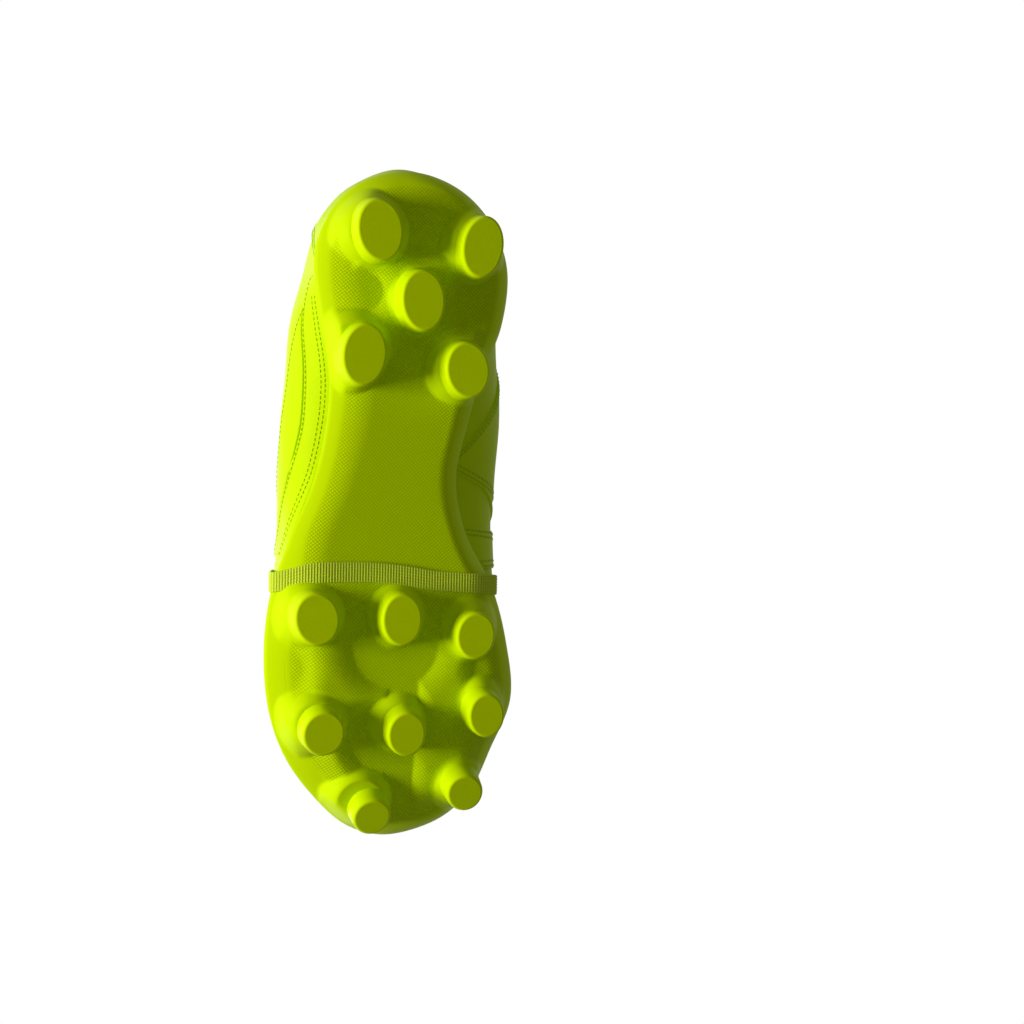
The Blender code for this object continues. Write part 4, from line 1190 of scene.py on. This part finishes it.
def collar_binding():
    """Rolled leather edge over the top of the collar."""
    places = np.linspace(LAPS - 6.45, LAPS + 6.45, 260)
    crest, normal = skin(places, 1.0), skin_normal(places, 1.0)
    flat = unit(normal * np.array([1.0, 1.0, 0.0]))
    middle = crest - flat * 3.4 + np.array([0, 0, 0.5])
    rows = []
    for turn in np.linspace(0, 2 * math.pi, 28, endpoint=False):
        tall = 3.2 if math.sin(turn) > 0 else 4.4
        rows.append(middle + flat * (4.15 * math.cos(turn))
                    + np.array([0, 0, tall * math.sin(turn)]))
    grid = np.stack(rows, axis=1)
    ends = np.clip(np.minimum(np.arange(260), 259 - np.arange(260)) / 6, 0, 1)
    close = np.sqrt(1 - (1 - ends) ** 2 + 1e-4)
    grid = middle[:, None] + (grid - middle[:, None]) * close[:, None, None]
    values = {"edge": np.full(grid.shape[:2], FAR)}
    piece("collar_edge", grid.reshape(-1, 3), tube_faces(*grid.shape[:2]), LOOKS["leather"],
          ["collar_binding"], values=values)
    low = skin(places, 0.955) + skin_normal(places, 0.955) * 0.1
    stitch_line("collar", low, skin_normal(places, 0.955))


# ---------------------------------------------------------------- tongue

def tongue_rows(depth, half, front, count, steps=44, free=22):
    """Rows of the tongue from its front end to its free top edge.

    depth and half are functions of the place, 0 at the front and 1 at the top.
    """
    bent = np.linspace(0, 1, steps) ** 1.3
    stations = front - (front - TONGUE_BEND) * bent
    radius = COLLAR_LENGTH / TONGUE_TURN
    lean = math.radians(TONGUE_SLOPE)
    pivot = across(TONGUE_BEND, 0, 1, 3)[1] + radius * np.array([math.sin(lean), 0, math.cos(lean)])
    rows = [across(t, depth(t, 0.0), half(t), count) for t in stations]
    for share in np.linspace(0, 1, free)[1:]:
        turned = across(TONGUE_BEND, depth(TONGUE_BEND, share), half(TONGUE_BEND), count) - pivot
        c, n = math.cos(TONGUE_TURN * share), math.sin(TONGUE_TURN * share)
        rows.append(np.column_stack([turned[:, 0] * c + turned[:, 2] * n, turned[:, 1],
                                     turned[:, 2] * c - turned[:, 0] * n]) + pivot)
    return np.array(rows)


def tongue():
    """Padded tongue: leather in front, knitted lining behind."""
    count, middle, full = 61, 9.6, 5.6

    def flat_rows(depth):
        return tongue_rows(lambda t, share: depth, lambda t: TONGUE_HALF, TONGUE_FRONT, count)

    centre = flat_rows(middle)
    distances = edge_distances(centre)
    near = np.min(list(distances.values()), axis=0)
    swell = np.sqrt(1 - (1 - np.clip(near / 6.0, 0, 1)) ** 2)
    ways = unit(flat_rows(middle - 1) - centre)
    front = centre + ways * (full / 2 * swell)[..., None]
    back = centre - ways * (full / 2 * swell)[..., None]
    values = twice(edge=near, along=distances["low"], aside=distances["start"])
    for name, a, b, look, nodes, slot in (
            ("tongue_front", front, centre + ways * 0.05, "single", ["tongue_cover"], "leather"),
            ("tongue_back", centre - ways * 0.05, back, "mesh", ["tongue_lining", "tongue_foam"],
             "lining")):
        points, faces = close_sheet(a, b)
        half = piece(name, points, faces, LOOKS[look], nodes, values=values, crease=70)
    stitch_edges("tongue", front, ways, ("start", "stop"), (5.5,))
    return centre


def flap_depth(t, _):
    return FLAP_DEPTH - FLAP_LIFT * smoothstep((t - 9.0) / 1.0)


def flap_half(t):
    """The flap narrows to a round front end."""
    return FLAP_HALF - 11 * max(0.0, 1 - (FLAP_FRONT - t) / 1.6) ** 2.2


def round_front(rows, reach=8.0, blend=20):
    """Draw the sides of a sheet's first rows back, so that its front end is round."""
    rounded = rows.copy()
    for i in range(blend):
        for j, side in enumerate(np.linspace(-1, 1, rows.shape[1])):
            place = i + reach * (1 - i / blend) * side ** 2
            low = int(place)
            rounded[i, j] = rows[low, j] * (low + 1 - place) + rows[low + 1, j] * (place - low)
    return rounded


def tongue_flap():
    """Leather flap that folds over the laces."""
    grid = round_front(tongue_rows(flap_depth, flap_half, FLAP_FRONT, 61))
    normals = -grid_normals(grid)
    if normals[10, 30, 2] < 0:
        normals = -normals
    distances = edge_distances(grid)
    near = np.min([distances[edge] for edge in ("start", "stop", "low")], axis=0)
    outside = grid - normals * rounding(near, 0.9)[..., None]
    inside = grid - normals * FLAP_THICK
    points, faces = close_sheet(outside, inside)
    piece("flap", points, faces, LOOKS["flap"], ["tongue_flap"], body="flap",
          values=twice(edge=near))
    stitch_edges("flap", outside, normals, ("start", "stop", "low"), (3.0,))
    return grid


def fold(flap, tongue_middle):
    """Leather that turns over from the tongue's top edge to the flap's."""
    top_edge, low_edge = flap[-1], tongue_middle[-1]
    narrow = np.linspace(0.06, 0.94, 41)

    def pick(row):
        return on_path(narrow * (len(row) - 1), np.arange(len(row)), row)

    up, down = pick(top_edge), pick(low_edge)
    ahead_up, ahead_down = unit(up - pick(flap[-3])), unit(down - pick(tongue_middle[-3]))
    gap = np.linalg.norm(up - down, axis=1, keepdims=True)
    rows = [hermite(down - ahead_down * 2, up - ahead_up * 2, ahead_down * gap * 2.1,
                    -ahead_up * gap * 2.1, f) for f in np.linspace(0, 1, 26)]
    grid = np.array(rows)
    normals = grid_normals(grid)
    middle = (up + down).mean(axis=0) / 2
    if (normals[13, 20] @ (grid[13, 20] - middle)) < 0:
        normals = -normals
    near = np.minimum(runs(grid, 1), runs(grid, 1)[:, -1:] - runs(grid, 1))
    outside = grid - normals * rounding(near, 0.8)[..., None]
    points, faces = close_sheet(outside, grid - normals * 1.5)
    obj = piece("tongue_fold", points, faces, LOOKS["leather"],
                values={"edge": np.full(2 * near.size, FAR)})
    obj.parent = None
    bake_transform(obj)


# ---------------------------------------------------------------- laces, strap and tab

def eyelet_station(row):
    return 7.35 + row * (9.5 - 7.35) / (EYELET_ROWS - 1)


def eyelet_u(side, row):
    return eyelet_station(row) if side > 0 else LAPS - eyelet_station(row)


def eyelet(side, row):
    """Middle of an eyelet on the skin, and the way out through it."""
    u = eyelet_u(side, row)
    return skin(u, 0.915), skin_normal(u, 0.915)


def lace_path():
    """Straight bars over the tongue, joined by runs under the eyestays."""
    outside, inside = LACE / 2 + 2.3, LEATHER + LACE / 2 + 0.5
    knots = []
    side = 1
    for row in range(EYELET_ROWS):
        ends = []
        for turn in (side, -side):
            u = eyelet_u(turn, row)
            middle, normal = eyelet(turn, row)
            lip = skin(u, 1.0) + skin_normal(u, 0.985) * outside
            ends.append([middle - normal * inside, middle + normal * outside, lip])
        crest = across(eyelet_station(row), -outside, 1, 3)[1]
        knots.extend(ends[0] + [crest] + ends[1][::-1])
        side = -side
    return np.array(knots)


def tube(path, radius, sides):
    """Grid of points round a path."""
    ahead = unit(np.gradient(path, axis=0))
    up = np.array([0.0, 0.0, 1.0])
    rings = []
    for spot, way in zip(path, ahead):
        up = unit(up - way * (up @ way))
        aside = np.cross(way, up)
        turns = np.linspace(0, 2 * math.pi, sides, endpoint=False)
        rings.append(spot + radius * (np.outer(np.cos(turns), up) + np.outer(np.sin(turns), aside)))
    return np.array(rings)


def laces():
    knots = lace_path()
    path = spline(knots, np.linspace(0, len(knots) - 1, len(knots) * 9))
    sides = 14
    grid = tube(path, LACE / 2, sides)
    along = np.repeat(runs(path[None], 1)[0], sides)
    around = np.tile(np.arange(sides) / sides * math.pi * LACE, len(path))
    slant = {"along": along + around, "aside": along - around}
    piece("boot_lace", grid.reshape(-1, 3), tube_faces(len(path), sides), LOOKS["lace"],
          ["lace"], values=slant)


def hull(points):
    """Convex outline of points in a plane, anticlockwise."""
    points = sorted(map(tuple, points))

    def half(ordered):
        chain = []
        for p in ordered:
            while len(chain) > 1:
                (ax, ay), (bx, by) = chain[-2], chain[-1]
                if (bx - ax) * (p[1] - ay) - (by - ay) * (p[0] - ax) > 0:
                    break
                chain.pop()
            chain.append(p)
        return chain[:-1]
    return np.array(half(points) + half(points[::-1]))


def strap_x(y, z):
    """Middle line of the strap, bowed under the sole and leaning forward above it."""
    low = plate_z(STRAP_X) + 2
    start, more = STRAP_TOP_LEAN
    lean = STRAP_LEAN * np.maximum(z - low, 0.0) + more * np.maximum(z - start, 0.0)
    return STRAP_X + table(STRAP_BOW, y) + lean


def strap_line(count):
    """Centreline of the strap round the boot, as (y, z) points."""
    u, v = np.meshgrid(np.arange(0, LAPS, 0.1), np.linspace(0, 1, 21))
    proud = 0.1 + 1.25 * smoothstep((v - 0.5) / 0.2)
    spots = (skin(u, v) + shell_normal(u, v) * proud[..., None]).reshape(-1, 3)
    ahead = spots[:, 0] - strap_x(spots[:, 1], spots[:, 2])
    near = (ahead > -STRAP_WIDTH / 2 - 3) & (ahead < STRAP_WIDTH / 2 + 1)
    points = [tuple(spot) for spot in spots[near][:, 1:]]
    for inset in (22.0, 18.0, 14.0, 11.0, 8.5, 6.0, 4.0, 2.2, 1.0, 0.4, 0.0):
        flat = rim_point(np.arange(0, LAPS, 0.1), inset)
        flat = flat[np.abs(flat[:, 0] - strap_x(flat[:, 1], 0.0)) < STRAP_WIDTH / 2 + 1]
        share = camber(flat[:, 0], flat[:, 1], inset)
        z = plate_z(flat[:, 0]) + table(RIM_HEIGHT, flat[:, 0]) * share
        points += list(zip(flat[:, 1], z))
    outline = hull(points)
    ring = np.concatenate([outline, outline[:1]])
    run = path_run(ring)
    line = on_path(np.linspace(0, run[-1], count, endpoint=False), run, ring)
    window = 2 * int(count / run[-1] * 1.5) + 1
    padded = np.concatenate([line[-window:], line, line[:window]])
    kernel = np.ones(window) / window
    smooth = [np.convolve(padded[:, i], kernel, "same")[window:-window] for i in range(2)]
    return np.stack(smooth, axis=-1), run[-1]


def elastic_strap():
    """Ribbed elastic band round the sole and the forefoot."""
    per_rib, cords, per_cord = 6, 7, 4
    _, length = strap_line(600)
    ribs = round(length / RIB_PITCH)
    count = ribs * per_rib
    line, _ = strap_line(count)
    ahead = unit(np.roll(line, -1, axis=0) - np.roll(line, 1, axis=0))
    outward = np.stack([ahead[:, 1], -ahead[:, 0]], axis=-1)
    line = line + outward * (STRAP_SLACK + STRAP / 2)
    columns = cords * per_cord + 1
    sides = np.linspace(0.5, -0.5, columns)
    turn = np.arange(count) * 2 * math.pi / per_rib
    rib = 0.5 + 0.5 * np.cos(turn)
    bead = 0.5 - 0.5 * np.cos(np.linspace(0, 2 * math.pi * cords, columns))
    crest = (0.35 + 0.65 * bead)[:, None] * rib[None] ** 0.8
    border = np.sqrt(1 - (np.abs(sides) * 2) ** 12 + 1e-6)[:, None]
    grids = []
    for high in (STRAP * 0.3 + 0.5 * crest * border, np.full_like(crest, -STRAP * 0.4)):
        if high[0, 0] > 0:
            high = high * (0.25 + 0.75 * border)
        yz = line[None] + outward[None] * high[..., None]
        middle = strap_x(line[:, 0], line[:, 1])
        x = middle[None] + STRAP_WIDTH * sides[:, None]
        grids.append(np.concatenate([x[..., None], yz], axis=-1))
    rows = np.concatenate([grids[0], grids[1][::-1], grids[0][:1]])
    points = rows.reshape(-1, 3)
    along = np.tile(np.arange(count) / per_rib * RIB_PITCH, len(rows))
    # Painted shade: low in the troughs between ribs and cords, and 0 all over the inner face, where
    # the material darkens the colour.
    tone = np.concatenate([crest, np.zeros_like(crest), crest[:1]])
    piece("strap", points, grid_faces(len(rows), count, wrap=True), LOOKS["elastic"],
          ["elastic_strap"], body="strap", values={"along": along, "crest": tone.ravel()}, crease=80)


def heel_pull_tab():
    """Webbing loop sewn over the back of the collar."""
    half = 5.0
    knots = [skin(0.0, v) + skin_normal(0.0, v) * 3.4 for v in (0.74, 0.83, 0.92, 1.0)]
    crest = skin(0.0, 1.0)
    knots += [crest + np.array(step) for step in ((-3.0, 0, 6.5), (1.5, 0, 9.6), (7.0, 0, 9.4),
                                                  (11.2, 0, 5.5), (12.4, 0, -2), (12.8, 0, -10))]
    path = spline(np.array(knots), np.linspace(0, len(knots) - 1, 90))
    over = np.linspace(-half, half, 21)
    grid = path[:, None] + np.stack([over * 0, over, over * 0], axis=-1)[None]
    normals = grid_normals(grid)
    if normals[5, 10, 0] > 0:
        normals = -normals
    distances = edge_distances(grid)
    near = np.minimum(distances["start"], distances["stop"])
    outside = grid - normals * rounding(near, 0.5)[..., None]
    points, faces = close_sheet(outside, grid - normals * 1.2)
    border = smoothstep((1.9 - near) / 0.5)
    values = twice(along=distances["low"], aside=distances["start"], border=border)
    piece("pull_tab", points, faces, LOOKS["webbing"], ["heel_pull_tab"], values=values)


def sockliner():
    """Loose footbed with a rounded edge and a textile cover."""
    places = np.arange(360) * LAPS / 360
    low = 2 * GAP + BOARD
    profile = [(4.0, 0.0), (3.2, 0.25), (3.2, 0.7), (3.6, 0.92), (4.4, 1.0)]
    spine = spine_point(places)
    rows = [np.column_stack([spine, rim_z(spine[:, 0]) + low])]
    for inset, share in profile:
        flat = rim_point(places, INSOLE_INSET + inset)
        rows.append(np.column_stack([flat, rim_z(flat[:, 0]) + low + SOCKLINER * share]))
    for share in np.linspace(0.12, 1, 14):
        flat = rim_point(places, INSOLE_INSET + profile[-1][0]) * (1 - share) + spine * share
        dish = 0.5 * smoothstep(share / 0.5)
        rows.append(np.column_stack([flat, rim_z(flat[:, 0]) + low + SOCKLINER - dish]))
    points = np.concatenate(rows)
    values = {"along": points[:, 0] + 200, "aside": points[:, 1] + 200}
    liner = piece("footbed", points, grid_faces(len(rows), len(places), wrap=True), LOOKS["cover"],
                  ["sockliner"], body="insole", values=values, crease=70)


def hidden_nodes():
    """Finishes for the CAD pieces that stay inside the boot."""
    for look, names in (("foam", ["midsole_wedge"]),
                        ("board", ["insole_board", "toe_puff", "heel_counter"]),
                        ("steel", ["shank"])):
        for name in names:
            node = frame["nodes"][name]
            node.data.materials.clear()
            node.data.materials.append(LOOKS[look])


# ---------------------------------------------------------------- stage

def camera():
    data = bpy.data.cameras.new("camera")
    data.lens = 79.24
    data.sensor_width = 36.0
    data.clip_start, data.clip_end = 0.01, 50.0
    obj = bpy.data.objects.new("camera", data)
    # The ways of the picture's right side, its lower side and its depth
    right = Vector((-0.0209, -0.9559, -0.2929))
    down = Vector((0.9983, -0.0041, -0.0578))
    ahead = Vector((0.0541, -0.2936, 0.9544))
    turn = Matrix((right, -down, -ahead)).transposed().to_4x4()
    obj.matrix_world = Matrix.Translation((-0.0537, 0.2440, -0.9502)) @ turn
    bpy.context.scene.collection.objects.link(obj)
    bpy.context.scene.camera = obj


def area_light(name, place, size, strength):
    """Square lamp that looks at the boot; strength is what a white card there would show."""
    data = bpy.data.lights.new(name, "AREA")
    data.size = size
    target = Vector((0.0, 0.0, 0.04))
    spot = Vector(place)
    data.energy = strength * math.pi ** 2 * (spot - target).length_squared
    obj = bpy.data.objects.new(name, data)
    obj.location = spot
    obj.rotation_euler = (target - spot).to_track_quat("-Z", "Y").to_euler()
    obj.visible_camera = False
    bpy.context.scene.collection.objects.link(obj)


def lights():
    area_light("key", (-0.02, 1.41, -0.30), 0.52, 1.03)
    area_light("top", (0.25, 0.1, 1.3), 1.3, 0.5)


def floor():
    """Pale floor under the studs, which is only there from above."""
    mesh = bpy.data.meshes.new("floor")
    far = 6.0
    mesh.from_pydata([(-far, -far, 0), (far, -far, 0), (far, far, 0), (-far, far, 0)], [],
                     [(0, 1, 2, 3)])
    obj = bpy.data.objects.new("floor", mesh)
    material, tree, shader = start_material("floor_card")
    shader.inputs["Base Color"].default_value = (0.86, 0.86, 0.85, 1.0)
    shader.inputs["Roughness"].default_value = 0.9
    clear = add_node(tree, "ShaderNodeBsdfTransparent")
    behind = add_node(tree, "ShaderNodeNewGeometry").outputs["Backfacing"]
    mixed = add_node(tree, "ShaderNodeMixShader", {0: behind, 1: shader.outputs[0],
                                                   2: clear.outputs[0]})
    tree.links.new(mixed.outputs[0], tree.nodes["Material Output"].inputs["Surface"])
    mesh.materials.append(material)
    bpy.context.scene.collection.objects.link(obj)
    obj.visible_shadow = False
    obj.visible_diffuse = False
    obj.visible_glossy = False


def world_light():
    """White to the camera; to the boot, dim from below and brighter from above."""
    made = bpy.data.worlds.new("studio")
    made.use_nodes = True
    tree = made.node_tree
    background = tree.nodes["Background"]
    height = add_node(tree, "ShaderNodeSeparateXYZ", {
        0: add_node(tree, "ShaderNodeTexCoord").outputs["Generated"]}).outputs[2]
    up = compute(tree, "MULTIPLY_ADD", height, 1.2, 0.1)
    ramp = compute(tree, "MINIMUM", compute(tree, "MAXIMUM", up, 0.0), 1.0)
    soft = compute(tree, "MULTIPLY_ADD", ramp, 0.42, 0.145)
    seen = add_node(tree, "ShaderNodeLightPath").outputs["Is Camera Ray"]
    strength = compute(tree, "MAXIMUM", soft, seen)
    background.inputs["Color"].default_value = (1.0, 1.0, 1.0, 1.0)
    tree.links.new(strength, background.inputs["Strength"])
    bpy.context.scene.world = made


def main():
    camera()
    make_looks()
    outsole()
    studs()
    upper_panels()
    side_overlays()
    linings()
    collar_pad()
    collar_binding()
    middle = tongue()
    fold(tongue_flap(), middle)
    laces()
    elastic_strap()
    heel_pull_tab()
    sockliner()
    hidden_nodes()
    for group in THREADS:
        make_stitches(group, LOOKS["thread"], "flap" if group == "flap" else "root")
    lights()
    floor()
    world_light()
    bpy.context.scene.view_settings.view_transform = "Standard"


main()
bpy.context.view_layer.update()
